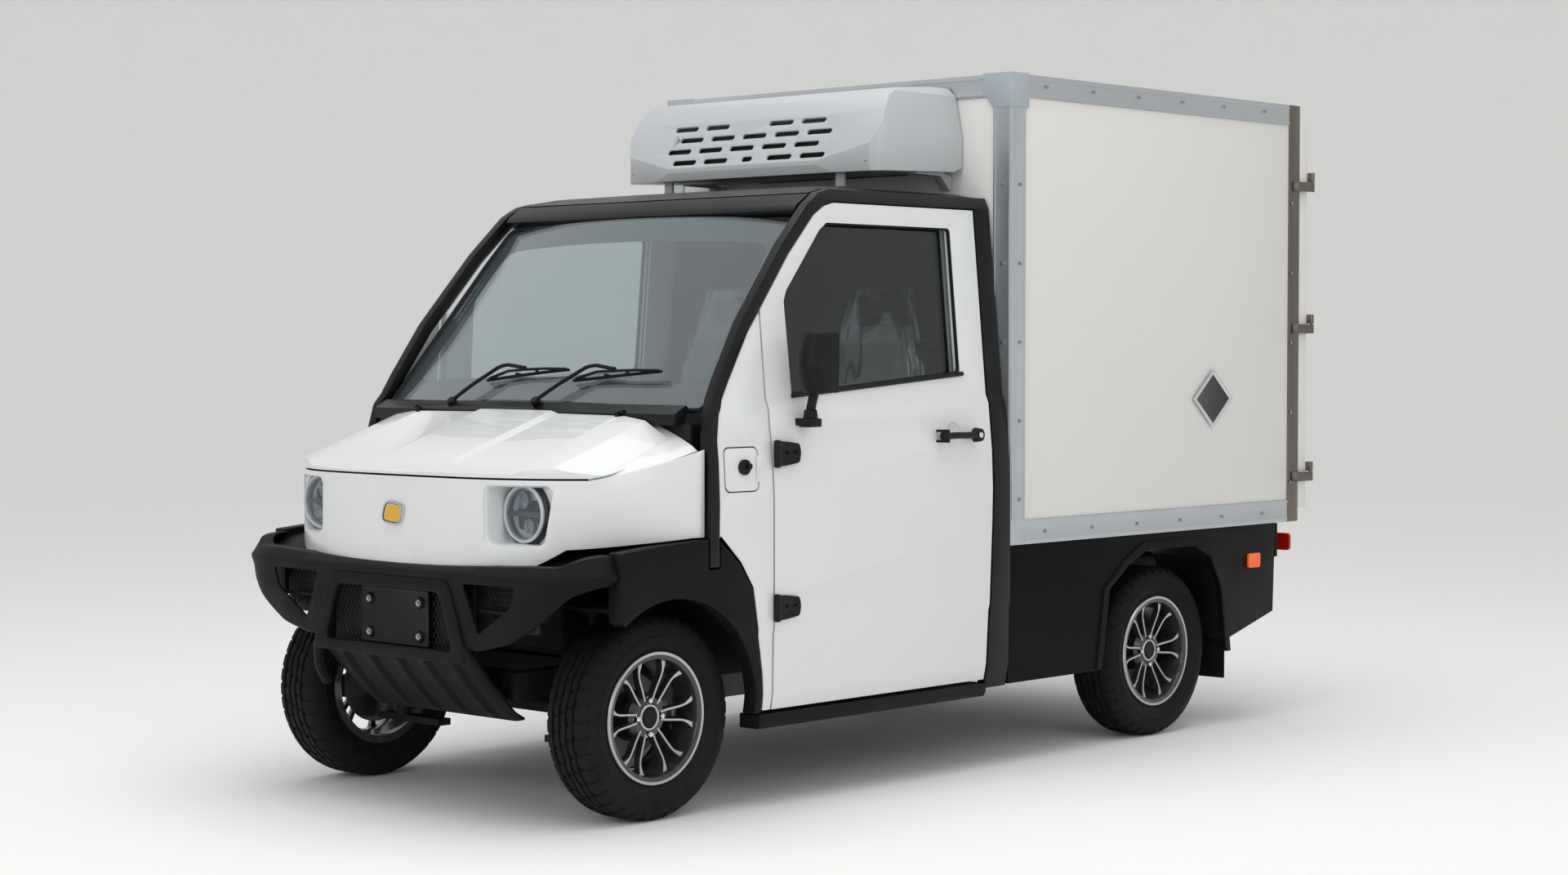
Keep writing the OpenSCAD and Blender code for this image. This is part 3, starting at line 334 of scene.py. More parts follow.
@dataclass(frozen=True)
class Pane:
    """Glass thin enough that it shifts nothing: it tints what is behind it and mirrors the room."""

    name: str
    slot: str
    tint: str
    mirror: float
    haze: float = 0.0

    def build(self) -> bpy.types.Material:
        """Build the pane's nodes.

        Returns:
            The finished material.
        """
        material = bpy.data.materials.new(self.name)
        material.use_nodes = True
        tree = material.node_tree
        tree.nodes.clear()
        place = add_node(tree, "ShaderNodeTexCoord").outputs["Object"]
        smears = add_node(tree, "ShaderNodeTexNoise", {"Scale": 6.0, "Detail": 5.0}, {"Vector": place})
        dull = add_node(
            tree,
            "ShaderNodeMapRange",
            {"From Min": 0.35, "From Max": 0.75, "To Min": 0.0, "To Max": 0.06},
            {"Value": smears.outputs["Fac"]},
        )
        through = add_node(tree, "ShaderNodeBsdfTransparent", {"Color": linear(self.tint)})
        gloss = add_node(
            tree,
            "ShaderNodeBsdfAnisotropic",
            {"Color": (1.0, 1.0, 1.0, 1.0)},
            {"Roughness": dull.outputs["Result"]},
        )
        # Both faces of a pane mirror alike, which the Fresnel node doesn't do from behind
        slant = add_node(tree, "ShaderNodeLayerWeight", {"Blend": 0.5}).outputs["Facing"]
        steep = add_node(tree, "ShaderNodeMath", {"operation": "POWER", 1: 5.0}, {0: slant})
        share = add_node(
            tree,
            "ShaderNodeMath",
            {"operation": "MULTIPLY_ADD", 1: 1.0 - GLASS_MIRROR, 2: GLASS_MIRROR + self.mirror},
            {0: steep.outputs[0]},
        )
        pane = add_node(
            tree,
            "ShaderNodeMixShader",
            links={"Fac": share.outputs[0], 1: through.outputs[0], 2: gloss.outputs[0]},
        )
        film = add_node(tree, "ShaderNodeBsdfDiffuse", {"Color": linear(FILM_BLUE)})
        hazy = add_node(
            tree, "ShaderNodeMixShader", {0: self.haze}, {1: pane.outputs[0], 2: film.outputs[0]}
        )
        add_node(tree, "ShaderNodeOutputMaterial", links={"Surface": hazy.outputs[0]})
        return material


ROAD_DUST = "#8C857A"
# What clear glass mirrors straight on
GLASS_MIRROR = 0.04
FILM_BLUE = "#B9CBD6"

# Two-pack polyurethane over steel: a clear, wet gloss with faint orange peel
WHITE_PAINT = Finish("polyurethane_paint_white", "gloss_white", "#DCDEE0", 0.30, coat=0.5,
                     grain=3.5, relief=0.012, stray=0.015, dust=0.05)
# Gel-coated fibreglass skin: flat white with a soft, broad sheen
GELCOAT = Finish("gelcoat_fibreglass_white", "box_panel", "#DBDAD8", 0.42, grain=9.0, relief=0.02,
                 stray=0.012)
# Anodised aluminium, drawn through a die: cool grey with lines along its length
ANODISED = Finish("anodised_aluminium", "rail_aluminium", "#BFC4C8", 0.38, Surface.BRUSHED,
                  metallic=0.75, grain=0.9, relief=0.006, stray=0.05, lay=Lay.ALONG)
ANODISED_UPRIGHT = Finish("anodised_aluminium_upright", "rail_aluminium", "#BFC4C8", 0.38,
                          Surface.BRUSHED, metallic=0.75, grain=0.9, relief=0.006, stray=0.05,
                          lay=Lay.UP)
# Painted aluminium casting: the same grey, with a sand skin instead of lines
CORNER_CASTING = Finish("cast_aluminium_painted", "rail_aluminium", "#AAB3B9", 0.45, Surface.CAST,
                        metallic=0.2, grain=2.5, relief=0.05, stray=0.05)
# Stainless steel, brushed upright: dark where it mirrors the floor
STAINLESS = Finish("brushed_stainless_steel", "dark_steel", "#77706A", 0.30, Surface.BRUSHED,
                   metallic=1.0, grain=0.8, relief=0.006, stray=0.08, lay=Lay.UP)
# Zinc-plated steel: pale, slightly blue and patchy
ZINC = Finish("zinc_plated_steel", "zinc_steel", "#A9ADB2", 0.32, Surface.BRUSHED, metallic=1.0,
              grain=1.5, relief=0.008, stray=0.1)
# Chromed steel: a mirror with hardly a mark
CHROME = Finish("chromed_steel", "bright_trim", "#DDE0E3", 0.08, Surface.POLISHED, metallic=1.0,
                grain=4.0, relief=0.002, stray=0.02)
# Black gloss: painted shade on the badge's step wall under the chrome frame, and the sunk centre of the
# diamond plates
BLACK_GLOSS_AND_SHADE = Finish("black_gloss_and_painted_shade", "bright_trim", "#0B0C0D", 0.10, Surface.POLISHED, ior=1.49,
                       coat=0.5, grain=5.0, relief=0.002)
# Polypropylene from a grained mould: matte charcoal that lights up softly at its edges
BLACK_PP = Finish("moulded_polypropylene_charcoal", "black_plastic", "#0F1011", 0.52,
                  Surface.MOULDED, ior=1.49, gleam=0.14, grain=1.6, relief=0.03, stray=0.08, dust=0.03)
# The same plastic with a finer grain, on mirrors and handles
BLACK_ABS = Finish("moulded_abs_black", "black_plastic", "#0D0E0F", 0.42, Surface.MOULDED,
                   ior=1.54, gleam=0.2, grain=1.0, relief=0.03, stray=0.06)
# Powder-coated steel tube: satin black with a coarse, soft peel
POWDER_BLACK = Finish("powder_coated_steel_black", "black_frame", "#0E0F12", 0.36, gleam=0.25, grain=2.2,
                      relief=0.03, stray=0.06, dust=0.02)
# Skirts and chassis: duller powder coat
CHASSIS_BLACK = Finish("painted_steel_chassis_black", "black_chassis", "#0C0D0E", 0.55,
                       gleam=0.14, grain=3.0, relief=0.03, stray=0.15, dust=0.12)
SKIRT_BLACK = Finish("powder_coated_sheet_black", "black_frame", "#0A0B0C", 0.46, gleam=0.1, grain=2.0,
                     relief=0.025, stray=0.05, dust=0.04)
# Tyre rubber: nearly black and matte, greyer where dust stays in the tread
RUBBER = Finish("tyre_rubber", "tyre_rubber", "#0B0B0C", 0.68, Surface.CAST, gleam=0.16,
                grain=1.2, relief=0.03, stray=0.15, dust=0.06)
SEAL_RUBBER = Finish("epdm_rubber_seal", "black_plastic", "#0B0C0C", 0.6, Surface.CAST,
                     gleam=0.25, grain=1.0, relief=0.02, stray=0.1)
# Alloy wheel: black lacquer below, and spoke faces turned bright on a lathe
BLACK_LACQUER = Finish("black_lacquered_alloy", "alloy", "#131416", 0.22, coat=0.5, grain=2.5,
                       relief=0.01, stray=0.05, dust=0.2)
TURNED_ALLOY = Finish("diamond_turned_aluminium", "alloy", "#B4B7BA", 0.26, Surface.BRUSHED,
                      metallic=1.0, grain=0.7, relief=0.004, stray=0.06)
BRAKE_IRON = Finish("cast_iron_brake", "cast_metal", "#5B5E61", 0.42, Surface.CAST, metallic=1.0,
                    grain=1.6, relief=0.04, stray=0.2)
CAST_IRON = Finish("cast_iron_black_wash", "cast_metal", "#33363A", 0.6, Surface.CAST, metallic=0.6,
                   grain=2.5, relief=0.08, stray=0.2, dust=0.3)
SPRING_RED = Finish("epoxy_coated_spring_steel", "spring_red", "#A3231B", 0.33, grain=3.0,
                    relief=0.02, dust=0.2)
# Painted ABS cover of the cooling unit: silver grey with a fine texture
UNIT_GREY = Finish("painted_abs_silver_grey", "unit_shell", "#B7BBBE", 0.38, Surface.MOULDED,
                   ior=1.54, coat=0.15, grain=1.4, relief=0.012, stray=0.03)
BATTERY_GREY = Finish("painted_steel_battery_case", "battery_case", "#3A3F43", 0.5, grain=2.5,
                      relief=0.02, dust=0.3)
# Cab interior: soft-grained polypropylene
CABIN = Finish("moulded_polypropylene_cabin", "interior", "#17181A", 0.6, Surface.MOULDED,
               gleam=0.3, grain=1.4, relief=0.06, stray=0.08)
# Polyester seat cloth, drawn with threads of 3 mm because finer ones don't show
SEAT_CLOTH = Finish("woven_polyester_seat_cloth", "seat_cover", "#25272B", 0.8, Surface.WOVEN,
                    sheen=0.4, grain=3.0, relief=0.25, stray=0.12)
AMBER = Finish("acrylic_lens_amber", "lamp", "#E8590C", 0.16, Surface.POLISHED, ior=1.49, coat=0.4,
               glow=0.25, grain=3.0, relief=0.02)
RED_LENS = Finish("acrylic_lens_red", "lamp", "#B3140F", 0.16, Surface.POLISHED, ior=1.49, coat=0.4,
                  grain=3.0, relief=0.02)
LAMP_BLACK = Finish("lamp_housing_black", "lamp", "#0D0E0F", 0.3, Surface.POLISHED, coat=0.3)
LAMP_GREY = Finish("lamp_bezel_grey", "lamp", "#54595E", 0.3, Surface.POLISHED, metallic=0.4)
LAMP_LIGHT = Finish("led_light_guide", "lamp", "#B9C0C5", 0.25, Surface.POLISHED)
REFLECTOR = Finish("vapour_coated_reflector", "lamp", "#9FA6AC", 0.14, Surface.POLISHED,
                   metallic=1.0)
BADGE_YELLOW = Finish("enamel_yellow", "bright_trim", "#D9A514", 0.2, Surface.POLISHED, coat=0.6)
SCREEN_GLASS = Pane("laminated_glass", "screen_glass", "#F1F6F8", 0.05, haze=0.05)
TINTED_GLASS = Pane("tinted_tempered_glass", "tinted_glass", "#DEE3E4", 0.0)
LENS_CLEAR = Pane("polycarbonate_lens", "lamp", "#E6ECEF", 0.03)
MIRROR_GLASS = Finish("silvered_glass", "bright_trim", "#C6CED4", 0.03, Surface.POLISHED,
                      metallic=1.0, relief=0.0005)
PLASTIC_FILM = Pane("polyethylene_film", "seat_cover", "#DDE3E6", 0.10)
FRIT = Finish("ceramic_frit_black", "screen_glass", "#0E1012", 0.12, Surface.POLISHED, coat=0.6)
# Matt black: the honeycomb mesh, and the painted shade behind the bumper openings and the cooling unit's
# slots
SPOT_BLACK = Finish("matt_black_mesh_and_painted_shade", "black_plastic", "#0C0D0E", 0.6, Surface.MOULDED, grain=1.2)

# Matt seamless paper
STUDIO_PAPER = Finish("matt_studio_paper", "gloss_white", "#F5F5F4", 0.9, grain=4.0, relief=0.0,
                      stray=0.004)

_built: dict[str, bpy.types.Material] = {}


def material_of(finish: Finish | Pane) -> bpy.types.Material:
    """Return a finish's material, built once."""
    if finish.name not in _built:
        _built[finish.name] = finish.build()
    return _built[finish.name]


# ------------------------------------------------------------------ the bench


def deselect() -> None:
    """Go back to object mode with nothing selected."""
    if bpy.context.mode != "OBJECT":
        bpy.ops.object.mode_set(mode="OBJECT")
    bpy.ops.object.select_all(action="DESELECT")


class Blank:
    """A piece of stock on the bench, shaped with Blender's own tools until it is a finished piece."""

    def __init__(self, name: str, obj: bpy.types.Object) -> None:
        """Take an object as the stock and name it."""
        self.obj = obj
        self.obj.name = name
        self.obj.data.name = name

    # -- stock

    @classmethod
    def cube(cls, name: str, low: Vector, high: Vector) -> "Blank":
        """Cut a block that reaches from one corner to the other."""
        deselect()
        size = Vector(map(abs, high - low))
        bpy.ops.mesh.primitive_cube_add(size=1.0, location=(low + high) / 2, scale=size)
        return cls(name, bpy.context.object).settle()

    @classmethod
    def drum(
        cls,
        name: str,
        start: Vector,
        end: Vector,
        radius: float,
        top: float | None = None,
        sides: int = 40,
    ) -> "Blank":
        """Turn a drum or a cone between two points.

        Args:
            name: the piece's name.
            start: the middle of one end.
            end: the middle of the other.
            radius: radius at the start, in millimetres.
            top: radius at the end, if it differs.
            sides: how many flats stand for the round.

        Returns:
            The blank.
        """
        deselect()
        run = end - start
        bpy.ops.mesh.primitive_cone_add(
            vertices=sides,
            radius1=radius * MM,
            radius2=(radius if top is None else top) * MM,
            depth=run.length,
            location=(start + end) / 2,
            rotation=run.to_track_quat("Z", "Y").to_euler(),
        )
        return cls(name, bpy.context.object).settle()

    @classmethod
    def outline(cls, name: str, points: Sequence[Vector]) -> "Blank":
        """Lay a flat face inside a closed outline."""
        deselect()
        bpy.ops.mesh.primitive_circle_add(vertices=len(points), fill_type="NGON")
        blank = cls(name, bpy.context.object)
        return blank.put(points)

    @classmethod
    def plate(cls, name: str, points: Sequence[Vector], depth: Vector) -> "Blank":
        """Cut a plate with a closed outline and a thickness."""
        blank = cls.outline(name, points).pick()
        blank.op(bpy.ops.mesh.extrude_region_move, TRANSFORM_OT_translate={"value": depth})
        return blank.face_out()

    @classmethod
    def turned(
        cls, name: str, points: Sequence[Vector], centre: Vector, axis: Vector, steps: int = 96
    ) -> "Blank":
        """Turn a closed section round an axis, as on a lathe."""
        deselect()
        bpy.ops.mesh.primitive_circle_add(vertices=len(points), fill_type="NOTHING")
        blank = cls(name, bpy.context.object).put(points)
        blank.pick()
        blank.op(bpy.ops.mesh.spin, steps=steps, angle=math.tau, center=centre, axis=axis)
        return blank.weld().face_out()

    @classmethod
    def skin(cls, name: str, rows: Sequence[Sequence[Vector]], closed: bool = False) -> "Blank":
        """Stretch a skin over rows of points that all have the same count.

        Args:
            name: the piece's name.
            rows: the rows, in order; a closed row repeats its first point.
            closed: whether the two end rows are covered.

        Returns:
            The blank.
        """
        deselect()
        bpy.ops.mesh.primitive_grid_add(x_subdivisions=len(rows[0]) - 1, y_subdivisions=len(rows) - 1)
        blank = cls(name, bpy.context.object).put([p for row in rows for p in row])
        if closed:
            blank.pick().op(bpy.ops.mesh.remove_doubles, threshold=1e-5)
            blank.pick_edges(lambda m, d: True)
            blank.op(bpy.ops.mesh.select_non_manifold, extend=False)
            blank.op(bpy.ops.mesh.fill_holes, sides=0)
        return blank.face_out()

    @classmethod
    def rod(cls, name: str, points: Sequence[Vector], radius: float, sides: int = 12,
            closed: bool = False) -> "Blank":
        """Bend a round rod along a line of points and turn it into a mesh."""
        curve = bpy.data.curves.new(name, "CURVE")
        curve.dimensions = "3D"
        curve.bevel_depth = radius * MM
        curve.bevel_resolution = max(0, sides // 4 - 1)
        curve.use_fill_caps = not closed
        spline = curve.splines.new("POLY")
        spline.points.add(len(points) - 1)
        for knot, point in zip(spline.points, points):
            knot.co = (*point, 1.0)
        spline.use_cyclic_u = closed
        obj = bpy.data.objects.new(name, curve)
        bpy.context.scene.collection.objects.link(obj)
        deselect()
        obj.select_set(True)
        bpy.context.view_layer.objects.active = obj
        bpy.ops.object.convert(target="MESH")
        return cls(name, bpy.context.object).weld().face_out()

    @classmethod
    def copy_of(cls, node: str, name: str | None = None) -> "Blank":
        """Copy a CAD node and merge its loose triangles into clean faces."""
        source = frame["nodes"][node]
        deselect()
        obj = source.copy()
        obj.data = source.data.copy()
        obj.parent = None
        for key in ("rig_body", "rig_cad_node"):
            if key in obj:
                del obj[key]
        obj.matrix_world = Matrix.Identity(4)
        bpy.context.scene.collection.objects.link(obj)
        obj.data.materials.clear()
        blank = cls(name or node + "_piece", obj)
        blank.pick().op(bpy.ops.mesh.remove_doubles, threshold=2e-5)
        loose, whole = obj.data.copy(), blank.area()
        blank.op(bpy.ops.mesh.dissolve_limited, angle_limit=math.radians(0.6))
        blank.op(bpy.ops.mesh.quads_convert_to_tris, ngon_method="BEAUTY")
        if abs(blank.area() - whole) > 0.001 * whole:
            # A merged face covers one of the node's holes, so its triangles stay as they were
            obj.data = loose
        return blank

    def area(self) -> float:
        """Return the surface in square metres."""
        self.obj.data.calc_loop_triangles()
        return sum(t.area for t in self.obj.data.loop_triangles)

    # -- holding

    def activate(self) -> "Blank":
        """Select this piece alone."""
        deselect()
        self.obj.hide_set(False)
        self.obj.select_set(True)
        bpy.context.view_layer.objects.active = self.obj
        return self

    def settle(self) -> "Blank":
        """Bring the object to the origin, with its place in its mesh."""
        self.activate()
        bpy.ops.object.transform_apply(location=True, rotation=True, scale=True)
        return self

    def op(self, action: Callable[..., object], **settings: object) -> "Blank":
        """Run one edit-mode operator on what is picked."""
        self._focus()
        bpy.ops.object.mode_set(mode="EDIT")
        action(**settings)
        bpy.ops.object.mode_set(mode="OBJECT")
        return self

    def _focus(self) -> None:
        """Make this piece the active one and keep what is picked in it."""
        deselect()
        self.obj.select_set(True)
        bpy.context.view_layer.objects.active = self.obj

    def put(self, points: Sequence[Vector]) -> "Blank":
        """Place the piece's points one by one and bring its object to the origin."""
        self.obj.matrix_world = Matrix.Identity(4)
        for vertex, point in zip(self.obj.data.vertices, points):
            vertex.co = point
        self.obj.data.update()
        return self

    def shape(self, rule: Callable[[Vector], Vector]) -> "Blank":
        """Move every point by a rule."""
        for vertex in self.obj.data.vertices:
            vertex.co = rule(vertex.co.copy())
        self.obj.data.update()
        return self

    def pick(self, where: Callable[[Vector, Vector], bool] | None = None) -> "Blank":
        """Pick faces by their middle and normal, or all of them."""
        mesh = self.obj.data
        self._focus()
        bpy.context.tool_settings.mesh_select_mode = (False, False, True)
        bpy.ops.object.mode_set(mode="EDIT")
        bpy.ops.mesh.select_all(action="SELECT" if where is None else "DESELECT")
        bpy.ops.object.mode_set(mode="OBJECT")
        if where is not None:
            for face in mesh.polygons:
                face.select = bool(where(face.center, face.normal))
        elif not mesh.polygons:
            for edge in mesh.edges:
                edge.select = True
            for vertex in mesh.vertices:
                vertex.select = True
            bpy.context.tool_settings.mesh_select_mode = (False, True, False)
        return self

    def pick_edges(self, where: Callable[[Vector, Vector], bool]) -> "Blank":
        """Pick edges by their middle and direction."""
        mesh = self.obj.data
        self._focus()
        bpy.context.tool_settings.mesh_select_mode = (False, True, False)
        bpy.ops.object.mode_set(mode="EDIT")
        bpy.ops.mesh.select_all(action="DESELECT")
        bpy.ops.object.mode_set(mode="OBJECT")
        for edge in mesh.edges:
            a, b = (mesh.vertices[i].co for i in edge.vertices)
            edge.select = bool(where((a + b) / 2, (b - a).normalized()))
        return self

    # -- shaping what is picked

    def weld(self) -> "Blank":
        """Merge points that lie together."""
        return self.pick().op(bpy.ops.mesh.remove_doubles, threshold=1e-5)

    def face_out(self) -> "Blank":
        """Turn every face outwards."""
        return self.pick().op(bpy.ops.mesh.normals_make_consistent, inside=False)

    def inset(self, width: float, depth: float = 0.0) -> "Blank":
        """Inset the picked faces by millimetres, and sink or raise them."""
        return self.op(bpy.ops.mesh.inset, thickness=width * MM, depth=depth * MM, use_even_offset=True)

    def swell(self, height: float) -> "Blank":
        """Extrude the picked faces along their normals, in millimetres."""
        return self.op(
            bpy.ops.mesh.extrude_region_shrink_fatten,
            TRANSFORM_OT_shrink_fatten={"value": height * MM},
        )

    def delete(self) -> "Blank":
        """Delete the picked faces."""
        return self.op(bpy.ops.mesh.delete, type="FACE")

    # -- modifiers

    def modify(self, kind: str, **settings: object) -> "Blank":
        """Add one modifier with its settings and apply it."""
        modifier = self.obj.modifiers.new(kind.title(), kind)
        for key, value in settings.items():
            setattr(modifier, key, value)
        self.activate()
        bpy.ops.object.modifier_apply(modifier=modifier.name)
        return self

    def round_edges(self, width: float, segments: int = 2, angle: float = 32.0) -> "Blank":
        """Bevel every edge that is sharper than an angle, by a width in millimetres."""
        return self.modify(
            "BEVEL",
            width=width * MM,
            segments=segments,
            limit_method="ANGLE",
            angle_limit=math.radians(angle),
            miter_outer="MITER_ARC",
            use_clamp_overlap=True,
        )

    def cut(self, *cutters: "Blank") -> "Blank":
        """Cut other blanks out of this one and throw them away."""
        for cutter in cutters:
            self.modify("BOOLEAN", operation="DIFFERENCE", object=cutter.obj, solver="EXACT")
            cutter.scrap()
        return self

    def thicken(self, thickness: float, offset: float = -1.0) -> "Blank":
        """Give a skin its thickness in millimetres."""
        return self.modify(
            "SOLIDIFY", thickness=thickness * MM, offset=offset, use_even_offset=True
        )

    def smooth(self, levels: int = 2) -> "Blank":
        """Round the whole form with subdivision."""
        return self.modify("SUBSURF", levels=levels, render_levels=levels)

    # -- copies

    def copy(self, name: str, move: Matrix | None = None) -> "Blank":
        """Copy the piece with its own mesh, moved by a matrix.

        Args:
            name: the copy's name.
            move: where the copy goes; one that mirrors gets its faces turned out again.

        Returns:
            The copy.
        """
        obj = self.obj.copy()
        obj.data = self.obj.data.copy()
        bpy.context.scene.collection.objects.link(obj)
        twin = Blank(name, obj)
        if move is not None:
            obj.data.transform(move)
            if move.determinant() < 0:
                obj.data.flip_normals()
        return twin

    def twin(self, name: str) -> "Blank":
        """Copy the piece to the truck's other side."""
        return self.copy(name, Matrix.Scale(-1.0, 4, (1.0, 0.0, 0.0)))

    def join(self, *others: "Blank") -> "Blank":
        """Join other pieces into this one."""
        deselect()
        for other in others:
            other.obj.select_set(True)
        self.obj.select_set(True)
        bpy.context.view_layer.objects.active = self.obj
        bpy.ops.object.join()
        return self

    def scrap(self) -> None:
        """Throw the piece away."""
        mesh = self.obj.data
        bpy.data.objects.remove(self.obj)
        bpy.data.meshes.remove(mesh)

    # -- finishing

    def paint(
        self, finish: Finish | Pane, where: Callable[[Vector, Vector], bool] | None = None
    ) -> "Blank":
        """Give the whole piece a finish, or add one on some of its faces."""
        slots = self.obj.data.materials
        if where is None:
            slots.clear()
            slots.append(material_of(finish))
            return self
        slots.append(material_of(finish))
        for face in self.obj.data.polygons:
            if where(face.center, face.normal):
                face.material_index = len(slots) - 1
        return self

    def dress(
        self,
        body: str,
        finish: Finish | Pane | None = None,
        replaces: Iterable[str] = (),
        sharp: float = 30.0,
        slot: str | None = None,
    ) -> "Blank":
        """Finish the piece: smooth it, give it its material and let it ride.

        Args:
            body: the body that it moves with.
            finish: its material, or none where paint() has given it several.
            replaces: the CAD nodes that it stands for.
            sharp: edges past this angle in degrees stay sharp.
            slot: the record's material slot, where no finish is given; not used.

        Returns:
            The finished piece.
        """
        self.activate()
        bpy.ops.object.shade_smooth_by_angle(angle=math.radians(sharp))
        if finish is not None:
            self.paint(finish)
        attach(self.obj, body)
        if replaces:
            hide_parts(*replaces)
        log.info("%s: %d faces on %s", self.obj.name, len(self.obj.data.polygons), body)
        return self


def refine(
    node: str,
    finish: Finish | Pane,
    edge: float = 1.5,
    segments: int = 2,
    angle: float = 32.0,
) -> Blank:
    """Replace a CAD node by a merged copy with rounded edges.

    Args:
        node: the CAD node.
        finish: the material of the copy.
        edge: the width of its rounded edges in millimetres, or 0 to leave them sharp.
        segments: how many faces go round an edge.
        angle: edges sharper than this are rounded.

    Returns:
        The finished piece.
    """
    blank = Blank.copy_of(node)
    if edge:
        blank.round_edges(edge, segments, angle)
    return blank.dress(frame["nodes"][node]["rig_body"], finish, [node])


# ------------------------------------------------------------------ the studio


@dataclass
class Studio:
    """A pale floor, soft light and the camera."""

    lens: float = 63.1
    azimuth: float = 42.89
    pitch: float = 1.93
    camera_place: tuple[float, float, float] = (5550.0, -4844.0, 1203.0)

    def build(self) -> None:
        """Set up the whole studio."""
        self._floor()
        self._lights()
        self._camera()

    def _floor(self) -> None:
        """Turn a shallow bowl: a flat floor that sweeps up all round, so no corner shows."""
        flat, sweep, top = 16.0, 9.0, 14.0
        arc = [math.radians(90 * k / 10) for k in range(11)]
        profile = [Vector((0.0, 0.0, 0.0)), Vector((flat * 0.5, 0.0, 0.0))]
        profile += [Vector((flat + sweep * math.sin(a), 0.0, sweep * (1 - math.cos(a)))) for a in arc]
        profile.append(Vector((flat + sweep, 0.0, top)))
        rows = [[Matrix.Rotation(math.tau * k / 64, 3, "Z") @ p for k in range(65)] for p in profile]
        floor = Blank.skin("studio_floor", rows).weld()
        floor.activate()
        bpy.ops.object.shade_smooth_by_angle(angle=math.radians(40))
        floor.paint(STUDIO_PAPER)

    def _lights(self) -> None:
        """Hang the soft boxes and set the room's own light."""
        world = bpy.data.worlds.new("studio_room")
        bpy.context.scene.world = world
        world.use_nodes = True
        room = world.node_tree.nodes["Background"]
        room.inputs["Color"].default_value = linear("#F7F7F6")
        room.inputs["Strength"].default_value = 0.78
        self._soft_box("overhead_box", Vector((0.5, -0.5, 5.5)), Vector((0, 0, 0.5)), 5.0, 125.0)
        self._soft_box("front_box", Vector((1.5, -7.5, 2.8)), Vector((0, -1, 0.8)), 3.5, 60.0)
        self._soft_box("side_box", Vector((7.5, -2.8, 3.6)), Vector((0, 0.3, 1.0)), 4.0, 70.0)

    def _soft_box(self, name: str, place: Vector, aim: Vector, size: float, power: float) -> None:
        """Hang one square soft box and aim it."""
        light = bpy.data.lights.new(name, "AREA")
        light.size = size
        light.energy = power
        obj = bpy.data.objects.new(name, light)
        obj.location = place
        obj.rotation_euler = (aim - place).to_track_quat("-Z", "Y").to_euler()
        bpy.context.scene.collection.objects.link(obj)

    def _camera(self) -> None:
        """Set the camera level with the cab, off the truck's left front corner."""
        camera = bpy.data.cameras.new("camera")
        camera.lens = self.lens
        camera.clip_end = 200.0
        obj = bpy.data.objects.new("camera", camera)
        obj.location = at(*self.camera_place)
        obj.rotation_euler = (math.radians(90 - self.pitch), 0.0, math.radians(self.azimuth))
        bpy.context.scene.collection.objects.link(obj)
        bpy.context.scene.camera = obj
        bpy.context.scene.view_settings.view_transform = "Standard"


# ------------------------------------------------------------------ wheels


def on_wheel(out: float, radius: float, turn: float) -> Vector:
    """Return a place on a wheel that stands at the origin.

    Args:
        out: millimetres outwards along the axle.
        radius: millimetres from the axle.
        turn: degrees clockwise from straight up, seen from outside.

    Returns:
        The place in metres.
    """
    angle = math.radians(turn)
    return Vector((out, radius * math.sin(angle), radius * math.cos(angle))) * MM


def ring_of(section: Sequence[tuple[float, float]]) -> list[Vector]:
    """Place a section of (outwards, radius) pairs on the wheel, straight up from the axle."""
    return [on_wheel(out, radius, 0.0) for out, radius in section]


